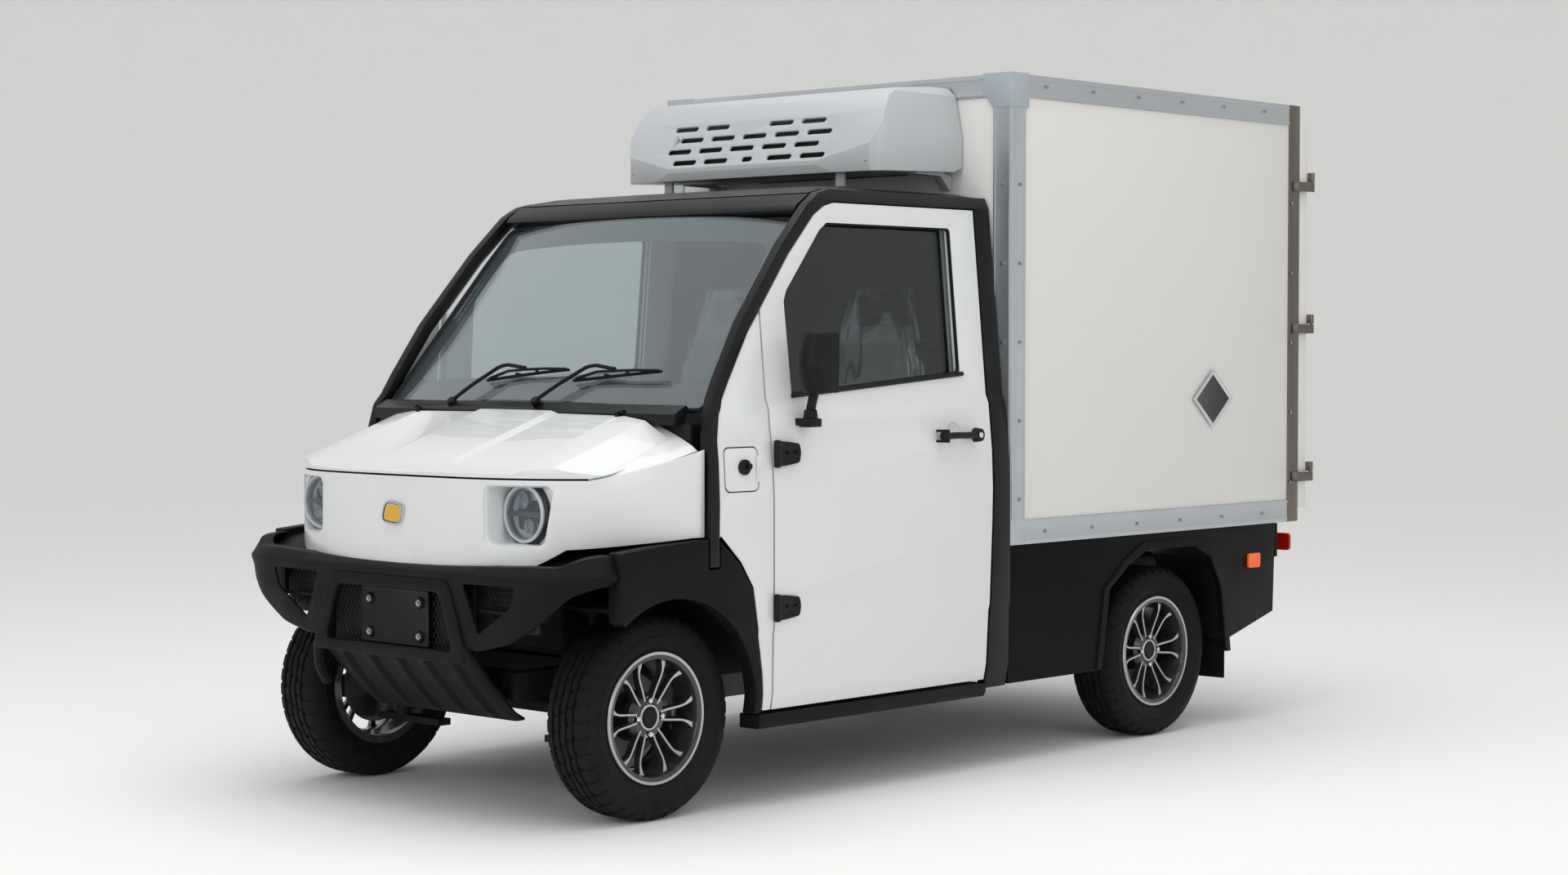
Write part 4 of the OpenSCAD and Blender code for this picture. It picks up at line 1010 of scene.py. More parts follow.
@dataclass
class Wheels:
    """Four low-section tyres on black alloy wheels with twelve bright-faced spokes."""

    tyre_radius: float = 261.0
    steps: int = 160
    rim_radius: float = 152.0
    pairs: int = 6
    lugs: int = 4
    lug_circle: float = 43.0
    # Share of the rim's radius, and degrees from the middle of a pair of spokes
    spoke_path: tuple[tuple[float, float], ...] = (
        (0.28, 16.5), (0.4, 18.0), (0.5, 19.0), (0.62, 20.1), (0.72, 20.5), (0.79, 20.1),
        (0.85, 19.0), (0.92, 17.3), (1.0, 15.0),
    )

    def build(self) -> None:
        """Model one wheel and copy it to the four hubs."""
        masters = {
            "tyre": (self._tyre(), RUBBER),
            "alloy": (self._alloy(), None),
            "centre_cap": (self._cap(), BLACK_ABS),
            "lug_nuts": (self._nuts(), CHROME),
            "brake_disc": (self._disc(), BRAKE_IRON),
        }
        for end in ("front", "rear"):
            for hand in ("left", "right"):
                hub = middle_of(f"rim_{end}_{hand}")
                place = Matrix.Translation(hub)
                if hand == "right":
                    place = place @ Matrix.Scale(-1.0, 4, (1.0, 0.0, 0.0))
                for part, (master, finish) in masters.items():
                    stands_for = {"tyre": [f"tyre_{end}_{hand}"], "alloy": [f"rim_{end}_{hand}"]}
                    piece = master.copy(f"{part}_{end}_{hand}", place)
                    piece.dress(f"wheel_{end}_{hand}", finish, stands_for.get(part, []), slot="alloy")
        for master, _ in masters.values():
            master.scrap()

    def _block_of(self, place: Vector) -> int:
        """Return which step of the tread a place lies in."""
        turn = math.atan2(place.y, place.z) % math.tau
        return int(turn / math.tau * self.steps)

    def _tyre(self) -> Blank:
        """Turn the tyre, bend its middle grooves to a zigzag and cut its sipes."""
        r = self.tyre_radius
        half = [(48, 160), (50, 152), (62, 152), (62, 172), (70, 185), (77, 205), (78.4, 209),
                (77, 211), (77.2, 214), (78.6, 216), (78, 224), (74, 241), (66, 252), (56, r - 3),
                (52, r - 1.5), (40, r), (38.5, r - 7), (33.5, r - 7), (32, r), (15.5, r),
                (14, r - 7), (9, r - 7), (7.5, r)]
        inner = [(46, r - 16), (58, 231), (60, 200)]
        section = [(-u, q) for u, q in half] + half[::-1] + inner[::-1] + [(-u, q) for u, q in inner]
        tyre = Blank.turned("tyre", ring_of(section), Vector(), Vector((1, 0, 0)), self.steps)

        def zigzag(place: Vector) -> Vector:
            """Shift the middle ribs to and fro by 3 mm."""
            if math.hypot(place.y, place.z) > (r - 9) * MM and abs(place.x) < 0.035:
                step = round((math.atan2(place.y, place.z) % math.tau) / math.tau * self.steps)
                place.x += (abs(step % 8 - 4) - 2) * 1.1 * MM
            return place

        def is_sipe(place: Vector, normal: Vector) -> bool:
            """Tell whether a face of the tread lies in a sipe."""
            radius = math.hypot(place.y, place.z) / MM
            step, out = self._block_of(place), abs(place.x) / MM
            if radius < 238 or normal.dot(Vector((0, place.y, place.z)).normalized()) < 0.3:
                return False
            if out > 41:
                return step % 4 == 1
            if 18 < out < 33:
                return step % 4 == (0 if place.x > 0 else 2) and radius > r - 1
            return out < 6 and step % 8 == 3 and radius > r - 1

        tyre.shape(zigzag)
        return tyre.pick(is_sipe).swell(-2.5)

    def _spoke(self, side: int) -> Blank:
        """Loft one spoke: narrow at the hub, flared where it meets the rim."""
        rows = []
        for share, turn in self.spoke_path:
            radius = share * self.rim_radius
            front = 38 + 16 * share**2
            half = 3.4 + max(0.0, share - 0.8) * 26
            across = [(half, front), (-half, front), (-half - 3.5, front - 18), (half + 3.5, front - 18)]
            row = [on_wheel(u, radius, side * turn + math.degrees(w / radius)) for w, u in across]
            rows.append(row + row[:1])
        return Blank.skin("spoke", rows, closed=True).round_edges(0.9, 1)

    def _alloy(self) -> Blank:
        """Join barrel, hub and spokes, and turn their faces bright."""
        barrel = Blank.turned(
            "alloy",
            ring_of([(-62, 152), (-62, 167), (-67, 169), (-68, 160), (-68, 147), (-40, 147),
                     (-20, 136), (20, 136), (36, 143), (58, 147), (64, 150), (67.5, 161), (68, 168),
                     (65, 170), (62, 168), (62, 152), (34, 151), (14, 142), (-14, 142), (-34, 151)]),
            Vector(), Vector((1, 0, 0)), 96)
        hub = Blank.turned(
            "hub", ring_of([(14, 0), (14, 62), (26, 62), (38, 52), (40, 36), (36, 34), (36, 0)]),
            Vector(), Vector((1, 0, 0)), 72)
        holes = [
            Blank.drum("hole", on_wheel(24, self.lug_circle, t), on_wheel(60, self.lug_circle, t), 10.5)
            for t in self._lug_turns()
        ]
        hub.cut(*holes)
        ring = Blank.turned(
            "ring", ring_of([(35, 26), (41, 26.5), (42.5, 28), (42.5, 32.5), (41, 34), (35, 34.5)]),
            Vector(), Vector((1, 0, 0)), 72)
        spokes = []
        for side in (1, -1):
            first = self._spoke(side)
            for k in range(self.pairs):
                turn = math.radians(-(360 / self.pairs * k - 1.0))
                spokes.append(first.copy("spoke_copy", Matrix.Rotation(turn, 4, "X")))
            first.scrap()
        for spoke in spokes:
            spoke.paint(BLACK_LACQUER)
            spoke.paint(TURNED_ALLOY, lambda m, n: n.x > 0.8)
        for part in (barrel, hub):
            part.paint(BLACK_LACQUER)
        barrel.paint(TURNED_ALLOY, lambda m, n: n.x > 0.2 and m.x > 0.0635
                     and math.hypot(m.y, m.z) > 0.161)
        ring.paint(TURNED_ALLOY)
        return barrel.join(hub, ring, *spokes)

    def _lug_turns(self) -> list[float]:
        """Return where the lug nuts stand, in degrees."""
        return [90 + 360 * k / self.lugs for k in range(self.lugs)]

    def _cap(self) -> Blank:
        """Turn the centre cap, a low dome with a sunk face."""
        return Blank.turned(
            "centre_cap",
            ring_of([(34, 0), (34, 25), (43, 25), (46, 22), (46, 19), (44.5, 17), (45, 0)]),
            Vector(), Vector((1, 0, 0)), 64)

    def _nuts(self) -> Blank:
        """Turn a lug nut with a round seat and copy it round the hub."""
        nuts = []
        for turn in self._lug_turns():
            seat = Blank.drum("seat", on_wheel(28, self.lug_circle, turn),
                              on_wheel(33, self.lug_circle, turn), 9.6, 8.8, 24)
            nut = Blank.drum("nut", on_wheel(30, self.lug_circle, turn),
                             on_wheel(47, self.lug_circle, turn), 8.0, 7.2, 6)
            nuts.append(nut.round_edges(0.8).join(seat))
        return nuts[0].join(*nuts[1:])

    def _disc(self) -> Blank:
        """Turn the brake disc with its bell."""
        disc = Blank.turned(
            "brake_disc",
            ring_of([(-42, 34), (-42, 108), (-40, 110), (-32, 110), (-30, 108), (-30, 66), (-26, 64),
                     (10, 60), (13, 56), (13, 34)]),
            Vector(), Vector((1, 0, 0)), 80)
        return disc


# ------------------------------------------------------------------ outlines


def evenly(points: Sequence[Vector], count: int) -> list[Vector]:
    """Walk along a line of points and return places spread evenly on it.

    Args:
        points: the line's corners.
        count: how many places to return, ends included.

    Returns:
        The places.
    """
    runs = [(b - a).length for a, b in zip(points, points[1:])]
    total, places, k, done = sum(runs), [], 0, 0.0
    for i in range(count):
        goal = total * i / (count - 1)
        while k < len(runs) - 1 and done + runs[k] < goal:
            done += runs[k]
            k += 1
        places.append(points[k].lerp(points[k + 1], min(1.0, (goal - done) / max(runs[k], 1e-9))))
    return places


def rounded(
    points: Sequence[tuple[float, float]], radius: float, steps: int = 5
) -> list[tuple[float, float]]:
    """Round the corners of a closed outline.

    Args:
        points: the corners, in millimetres.
        radius: how far from a corner the rounding starts.
        steps: points along each rounding.

    Returns:
        The outline with its corners rounded.
    """
    result = []
    for i, corner in enumerate(points):
        here = Vector(corner)
        before, after = Vector(points[i - 1]), Vector(points[(i + 1) % len(points)])
        a = here + (before - here).normalized() * min(radius, (before - here).length * 0.45)
        b = here + (after - here).normalized() * min(radius, (after - here).length * 0.45)
        for k in range(steps + 1):
            t = k / steps
            result.append(tuple((1 - t) ** 2 * a + 2 * t * (1 - t) * here + t**2 * b))
    return result


def honeycomb(name: str, centre: Vector, width: float, height: float, cell: float = 9.0) -> Blank:
    """Make an upright grille of hexagons, facing forwards.

    Args:
        name: the piece's name.
        centre: its middle.
        width: millimetres across.
        height: millimetres up.
        cell: the radius of one hexagon.

    Returns:
        The grille.
    """
    corners = [Vector((cell * math.sin(math.radians(a)), 0, cell * math.cos(math.radians(a)))) * MM
               for a in range(0, 360, 60)]
    first = Blank.outline(name, [centre + c for c in corners])
    step, rise = cell * math.sqrt(3), cell * 1.5
    copies = []
    for row in range(-int(height / 2 / rise), int(height / 2 / rise) + 1):
        for k in range(-int(width / 2 / step), int(width / 2 / step) + 1):
            if (row, k) != (0, 0):
                shift = Vector(((k + 0.5 * (row % 2)) * step, 0, row * rise)) * MM
                copies.append(first.copy("cell", Matrix.Translation(shift)))
    first.join(*copies).weld()
    return first.modify("WIREFRAME", thickness=3.2 * MM, use_even_offset=False)


# ------------------------------------------------------------------ nose


@dataclass
class Nose:
    """Hood, fascia, badge and the two round headlamps in their recesses."""

    lamp: tuple[float, float, float] = (409.0, -266.0, 781.0)
    lamp_radius: float = 72.0
    badge_z: float = 771.0
    # Outline of the recess, in (x, z)
    recess: tuple[tuple[float, float], ...] = ((324, 838), (338, 853), (490, 853), (502, 838),
                                               (484, 712), (470, 700), (342, 702), (326, 716))

    def build(self) -> None:
        """Build the nose."""
        hood = Blank.copy_of("hood").round_edges(5.0, 3, 8.0)
        hinge = at(0, 61, 0).y
        hood.paint(WHITE_PAINT).paint(BLACK_ABS, lambda m, n: m.y > hinge and abs(m.x) > 0.393)
        hood.dress("hood", replaces=["hood"], slot="gloss_white")
        refine("front_fascia", WHITE_PAINT, 3.0, 3)
        self._badge()
        for hand in ("left", "right"):
            self._headlamp(hand)
            self._gutter(hand)

    def _surface_y(self, x: float) -> float:
        """Return how far back the nose's plan curve lies."""
        return 130 - 475 * math.sqrt(1 - min(1.0, abs(x) / 680) ** 3.4)

    def _gutter(self, hand: str) -> None:
        """Fold the painted channel that drains the gap between hood and fascia."""
        rows = []
        for i in range(9):
            t = i / 8
            y, seam = -186 + 286 * t, 862 + 72 * t
            inner, rise = 560 - 105 * t, 10 + 74 * t
            edge = min(636 + 22 * t, 680 * (1 - ((130 - y) / 475) ** 2) ** (1 / 3.4) - 10)
            rows.append([self._place(hand, edge + (inner - edge) * u, y, seam + rise * u**0.8)
                         for u in (0, 0.1, 0.25, 0.5, 0.75, 1.0)])
        channel = Blank.skin(f"hood_channel_{hand}", rows).thicken(1.5, 0.0)
        channel.face_out().dress("chassis", WHITE_PAINT, sharp=50)

    def _badge(self) -> None:
        """Make a plain badge: a yellow enamel field in a chrome frame, with painted shade in black on the
        wall between them.
        """
        outline = rounded([(-47, -25), (31, -33), (49, 24), (-30, 33)], 24, 6)
        y = self._surface_y(0)
        points = [at(x, y - 1, self.badge_z + z) for x, z in outline]
        badge = Blank.plate("nose_badge", points, Vector((0, -8 * MM, 0)))
        badge.pick(lambda m, n: n.y < -0.9).inset(4.0).inset(3.0, -2.5)
        badge.round_edges(1.0, 2).paint(CHROME)
        # Painted shade: the slanted front faces, mostly the step wall between frame and field, are
        # painted black
        badge.paint(BLACK_GLOSS_AND_SHADE, lambda m, n: -0.95 < n.y < -0.3 and m.y < at(0, y - 5.5, 0).y)
        badge.paint(BADGE_YELLOW, lambda m, n: n.y < -0.9 and abs(m.z - self.badge_z * MM) < 0.02
                    and abs(m.x) < 0.02)
        badge.dress("chassis", slot="bright_trim")

    def _place(self, hand: str, x: float, y: float, z: float) -> Vector:
        """Place a point on the lamp's side of the nose."""
        return at(x if hand == "left" else -x, y, z)

    def _headlamp(self, hand: str) -> None:
        """Build one recess with its housing, bezel, bar, projector and lens."""
        x, y, z = self.lamp
        outline = rounded(self.recess, 10, 3)
        middle = (sum(p[0] for p in outline) / len(outline), sum(p[1] for p in outline) / len(outline))
        rows = []
        for share, deep in ((1.03, 4), (0.995, 7), (0.97, 14), (0.93, 34), (0.88, 44), (0.5, 46)):
            row = []
            for px, pz in outline:
                nx, nz = middle[0] + (px - middle[0]) * share, middle[1] + (pz - middle[1]) * share
                flat = self.lamp[1] + 22
                surface = self._surface_y(nx)
                back = min(flat, surface + deep) if deep < 30 else max(flat, surface + 8)
                row.append(self._place(hand, nx, back, nz))
            rows.append(row + row[:1])
        bowl = Blank.skin(f"headlamp_recess_{hand}", rows, closed=False).weld()
        bowl.face_out().thicken(2.0, 1.0)
        bowl.dress("chassis", WHITE_PAINT, sharp=40)

        def turned(name: str, section: Sequence[tuple[float, float]], finish: Finish | Pane,
                   replaces: Sequence[str] = ()) -> None:
            """Turn a round part of the lamp: section is (forwards, radius)."""
            points = [self._place(hand, x, y - f, z + r) for f, r in section]
            part = Blank.turned(f"{name}_{hand}", points, self._place(hand, x, y, z),
                                Vector((0, 1, 0)), 72)
            part.dress("chassis", finish, replaces, sharp=35)

        r = self.lamp_radius
        stands_for = ["lamps"] if hand == "left" else []
        turned("headlamp_housing", [(-52, 0), (-52, r + 6), (-8, r + 10), (-4, r + 8), (-6, r),
                                    (-30, r - 8), (-34, 0)], LAMP_BLACK, stands_for)
        turned("headlamp_ring", [(-6, r + 1), (0, r + 2), (3, r), (3, r - 5), (-1, r - 8), (-8, r - 9)],
               LAMP_LIGHT)
        turned("headlamp_reflector", [(-31, 0), (-31, r - 12), (-10, r - 9), (-11, r - 7), (-33, r - 9),
                                      (-33, 0)], LAMP_GREY)
        turned("headlamp_lens", [(4, 0), (3, r - 30), (0, r - 5), (-1, r - 5), (2, r - 30), (2.6, 0)],
               LENS_CLEAR)
        bar = Blank.cube(f"headlamp_bar_{hand}", self._place(hand, x - r + 9, y + 18, z - 7),
                         self._place(hand, x + r - 9, y + 2, z + 7))
        bar.round_edges(2.5, 3).dress("chassis", LAMP_GREY)
        for part, dx, dz, size in (("low", 16, -30, 19), ("high", -8, 33, 22)):
            centre = self._place(hand, x + dx, y, z + dz)
            tip, root = centre + Vector((0, 4 * MM, 0)), centre + Vector((0, 30 * MM, 0))
            lens = Blank.drum(f"headlamp_{part}_beam_{hand}", root, tip, size + 4, size, 32)
            lens.pick(lambda m, n: n.y < -0.9).inset(4).inset(2, -4).inset(6, 3)
            lens.round_edges(0.8, 2).dress("chassis", REFLECTOR)
        tail = self._place(hand, 560, 2847, 560)
        lamp = Blank.plate(f"tail_lamp_{hand}", [tail + Vector((px, 0, pz)) * MM for px, pz in
                           rounded([(-98, -28), (98, -28), (98, 28), (-98, 28)], 12)],
                           Vector((0, 11 * MM, 0)))
        lamp.pick(lambda m, n: n.y > 0.9).inset(4).inset(1, -2).round_edges(1.5, 2)
        lamp.paint(RED_LENS).paint(REFLECTOR, lambda m, n: n.y > 0.9 and abs(m.x) < 0.52)
        lamp.dress("chassis", slot="lamp")
        side = self._place(hand, 684, 2594, 516)
        out = Vector((8 * MM if hand == "left" else -8 * MM, 0, 0))
        marker = Blank.plate(f"side_marker_{hand}", [side + Vector((0, py, pz)) * MM for py, pz in
                             rounded([(-33, -23), (33, -23), (33, 23), (-33, 23)], 10)], out)
        marker.pick(lambda m, n: abs(n.x) > 0.9 and abs(m.x) > 0.688).inset(4, 0).inset(1.5, -1.5)
        marker.round_edges(1.2, 2).dress("chassis", AMBER)


# ------------------------------------------------------------------ bumper


@dataclass
class Bumper:
    """Moulded bumper with a raised frame, two vents, mesh, plate carrier and ribbed skid."""

    reach: float = 690.0
    front: float = -372.0
    back: float = -206.0
    columns: int = 72
    crest_z: float = 626.0

    def build(self) -> None:
        """Build the bumper."""
        self._shell()
        self._frame()
        self._skid()
        self._mesh()
        self._carrier()
        for turn in (1, -1):
            self._ledge(turn)

    def _plan(self) -> list[Vector]:
        """Return the plan curve of the bumper's crest from right to left, z left at 0."""
        deep = self.back - self.front
        half = [Vector((x, self.back - deep * (1 - (x / self.reach) ** 9) ** (1 / 2.2), 0))
                for x in [self.reach * (1 - (1 - i / 60) ** 2) for i in range(61)]]
        full = [Vector((-p.x, p.y, 0)) for p in half[:0:-1]] + half
        return evenly(full, self.columns + 1)

    @staticmethod
    def _low_edge(x: float) -> float:
        """Return the height of the bumper's lower edge."""
        knots = ((0, 428), (352, 440), (450, 462), (560, 520), (640, 586), (690, 612), (900, 612))
        for (a, za), (b, zb) in zip(knots, knots[1:]):
            if abs(x) <= b:
                return za + (zb - za) * (abs(x) - a) / (b - a)
        return knots[-1][1]

    def _shell(self) -> None:
        """Stretch the shell over its section and cut its vents and opening."""
        plan = self._plan()
        rows: list[list[Vector]] = [[] for _ in range(10)]
        for i, p in enumerate(plan):
            before, after = plan[max(0, i - 1)], plan[min(len(plan) - 1, i + 1)]
            run = (after - before).normalized()
            inward = Vector((-run.y, run.x, 0))
            low = self._low_edge(p.x)
            side = max(0.0, (abs(p.x) - 600) / 90)
            top = 643 + 14 * min(1.0, abs(p.x) / 500) ** 2 + 28 * side
            crest = self.crest_z + 10 * side
            section = ((34, low + 2), (14, low), (9, low + 8), (7, (low + crest) / 2), (4, crest - 16),
                       (0, crest - 5), (0, crest + 2), (6, crest + 9), (24, top), (58, top + 2))
            for row, (deep, height) in zip(rows, section):
                q = p + inward * deep
                row.append(at(q.x, q.y, height))
        shell = Blank.skin("bumper_shell", rows).thicken(7.0, -1.0).face_out()
        mouth = rounded([(-208, 578), (208, 578), (262, 430), (-262, 430)], 16)
        opening = [at(x, -420, z) for x, z in mouth]
        cutters = [Blank.plate("cut", opening, Vector((0, 0.2, 0)))]
        for side in (1, -1):
            vent = rounded([(292, 606), (486, 608), (470, 556), (346, 480)], 12)
            cutters.append(Blank.plate("cut", [at(side * x, -420, z) for x, z in vent],
                                       Vector((0, 0.2, 0))))
        shell.cut(*cutters).round_edges(3.0, 2, 40)
        shell.dress("chassis", BLACK_PP, ["bumper"], sharp=35)

    def _frame(self) -> None:
        """Cut the raised frame round the centre opening."""
        outer = rounded([(-238, 612), (238, 612), (312, 402), (-312, 402)], 30, 6)
        inner = rounded([(-204, 578), (204, 578), (256, 432), (-256, 432)], 22, 6)
        ring = Blank.plate("bumper_frame", [at(x, -374, z) for x, z in outer], Vector((0, 0.024, 0)))
        ring.cut(Blank.plate("cut", [at(x, -400, z) for x, z in inner], Vector((0, 0.1, 0))))
        ring.round_edges(7.0, 4, 40).dress("chassis", BLACK_PP, sharp=40)
        for side in (1, -1):
            leg = [at(side * x, y, z) for x, y, z in
                   ((286, -356, 440), (312, -349, 402), (336, -326, 350), (350, -290, 306))]
            rod = Blank.rod(f"bumper_leg_{'left' if side > 0 else 'right'}", evenly(leg, 14), 17, 16)
            rod.dress("chassis", BLACK_PP)

    def _skid(self) -> None:
        """Press the skid plate with its slanted ribs."""
        rows = []
        for i in range(25):
            t = i / 24
            y, z, half = -354 + 178 * t**1.25, 428 - 188 * t, 316 - 16 * t
            row = []
            for k in range(97):
                x = -half + 2 * half * k / 96
                wave = math.cos((x + 26 * t) / 112 * math.tau)
                rib = 9 * min(1.0, max(0.0, wave * 2.2 - 0.6)) * min(1.0, 6 * t, 8 * (1 - t))
                edge = 10 * max(0.0, (abs(x) - half + 30) / 30) ** 2
                row.append(at(x, y - rib * 0.8 + edge, z - rib * 0.6 + edge * 0.5))
            rows.append(row)
        skid = Blank.skin("skid_plate", rows).thicken(6.0, -1.0)
        skid.face_out().dress("chassis", BLACK_PP, sharp=50)

    def _ledge(self, turn: int) -> None:
        """Form the ledge that closes the top of one wheel arch, from the bumper to the flare."""
        rows = []
        for y, z, outer in ((-330, 634, 596), (-290, 642, 624), (-204, 668, 660), (-87, 690, 680),
                            (65, 703, 684), (104, 703, 684)):
            rows.append([at(turn * (470 + (outer - 470) * u), y, z) for u in (0, 0.33, 0.66, 1)])
        ledge = Blank.skin(f"arch_ledge_{'left' if turn > 0 else 'right'}", rows).thicken(3.0, 0.0)
        ledge.face_out().dress("chassis", BLACK_PP, sharp=50)

    def _mesh(self) -> None:
        """Set honeycomb grilles, and matt black boxes behind the openings as painted shade."""
        grille = honeycomb("bumper_grille", at(0, -332, 504), 520, 140)
        vents = [honeycomb("vent", at(side * 402, -312, 556), 150, 90) for side in (1, -1)]
        grille.join(*vents).dress("chassis", SPOT_BLACK)
        # Painted shade: black boxes just behind the openings stand in for the shade inside them
        back = Blank.cube("bumper_painted_shade_back", at(-280, -318, 420), at(280, -300, 596)).round_edges(4)
        sides = [Blank.cube("bumper_painted_shade_side", at(s * 290, -306, 486), at(s * 500, -288, 614)).round_edges(4)
                 for s in (1, -1)]
        back.join(*sides).dress("chassis", SPOT_BLACK)
        bars = [Blank.cube("vent_bar", at(s * 330, -346, 534), at(s * 478, -320, 543)).round_edges(2.5)
                for s in (1, -1)]
        bars[0].join(bars[1]).dress("chassis", BLACK_PP)

    def _carrier(self) -> None:
        """Press the plate carrier with its raised border and four bosses."""
        outline = rounded([(-136, 576), (136, 576), (136, 432), (-136, 432)], 10)
        plate = Blank.plate("plate_carrier", [at(x, -346, z) for x, z in outline], Vector((0, 0.012, 0)))
        plate.pick(lambda m, n: n.y < -0.9).inset(3).inset(1.5, -1.5)
        plate.round_edges(1.2, 2)
        bosses = [Blank.drum("boss", at(x, -342, z), at(x, -350, z), 17, 14, 28).round_edges(1)
                  for x in (-100, 100) for z in (458, 544)]
        plate.join(*bosses).dress("chassis", BLACK_ABS)


# ------------------------------------------------------------------ windscreen


@dataclass
class Screen:
    """Curved windscreen with its black printed border, and the two wipers."""

    tilt: float = 39.9
    foot: tuple[float, float] = (100.0, 1030.0)
    bow: float = 5200.0
    pane: tuple[tuple[float, float], ...] = ((-628, 34), (628, 34), (584, 560), (566, 686), (-566, 686),
                                             (-584, 560))
    clear: tuple[tuple[float, float], ...] = ((-566, 118), (566, 118), (534, 540), (520, 606),
                                              (-520, 606), (-534, 540))
    pivots: dict[str, float] = field(default_factory=lambda: {"left": 52.0, "right": -300.0})

    def build(self) -> None:
        """Build the glass, its border and the wipers."""
        refine("windscreen", SCREEN_GLASS, 0.0)
        self._border()
        for hand, x in self.pivots.items():
            self._wiper(hand, x)

    def _on_glass(self, x: float, up: float, out: float) -> Vector:
        """Return a place on the windscreen: out is millimetres in front of its inner face."""
        lean = math.radians(self.tilt)
        deep = x * x / (2 * self.bow) - out
        y, z = self.foot
        return at(x, y + deep * math.cos(lean) + up * math.sin(lean),
                  z - deep * math.sin(lean) + up * math.cos(lean))

    def _border(self) -> None:
        """Print the black border on the inner face of the glass."""
        rings = []
        for outline, radius in ((self.pane, 30), (self.clear, 46)):
            flat = [Vector((x, up, 0)) for x, up in rounded(outline, radius, 6)]
            flat = evenly(flat + flat[:1], 121)
            rings.append([self._on_glass(p.x, p.y, -7.0) for p in flat])
        middle = [a.lerp(b, 0.5) for a, b in zip(*rings)]
        border = Blank.skin("windscreen_border", [rings[0], middle, rings[1]]).weld().face_out()
        border.thicken(0.8, 0.0).dress("chassis", FRIT, sharp=50)
        trim = [self._on_glass(x, up, 1.0) for x, up in rounded(self.pane, 30, 6)]
        seal = Blank.rod("windscreen_seal", trim, 7.0, 12, closed=True)
        seal.dress("chassis", SEAL_RUBBER)

    def _wiper(self, hand: str, x: float) -> None:
        """Build one wiper: pivot cap, bent arm, bow and blade."""
        follow = 0.4 if hand == "left" else 1.0

        def spot(dx: float, up: float, out: float) -> Vector:
            """Place a point from the wiper's pivot; the left one stands off, to clear the bow."""
            clear = ((x + dx) ** 2 - (x + dx * follow) ** 2) / (2 * self.bow)
            return self._on_glass(x + dx, 14 + up, out + clear)

        cap = Blank.drum("pivot", spot(0, 0, -2), spot(0, 0, 26), 15, 12, 28).round_edges(2.5, 3)
        arm = Blank.rod("arm", evenly([spot(0, 0, 20), spot(60, 52, 26), spot(132, 112, 28),
                                       spot(160, 120, 27), spot(236, 112, 22)], 24), 5.5, 10)
        spine = Blank.rod("spine", evenly([spot(96, 84, 12), spot(170, 104, 19), spot(240, 108, 20),
                                           spot(312, 112, 19), spot(386, 118, 12)], 24), 4.2, 8)
        blade = Blank.cube("blade", Vector((86, -2.5, 0)) * MM, Vector((396, 2.5, 9)) * MM)
        blade.round_edges(1.5, 2).pick().op(bpy.ops.mesh.subdivide, number_cuts=10)
        blade.shape(lambda p: spot(p.x / MM, 80 + (p.x / MM - 86) * 0.125 + p.y / MM, 4 + p.z / MM))
        links = [Blank.rod("link", [spot(a, h, 15), spot(b, h + 2, 9)], 3.5, 8)
                 for a, b, h in ((130, 112, 86), (200, 214, 98), (284, 270, 106), (352, 368, 112))]
        wiper = cap.join(arm, spine, blade.face_out(), *links)
        wiper.obj.name = f"wiper_arm_{hand}"
        wiper.dress(f"wiper_{hand}", BLACK_ABS, [f"wiper_{hand}"], sharp=40)


# ------------------------------------------------------------------ doors


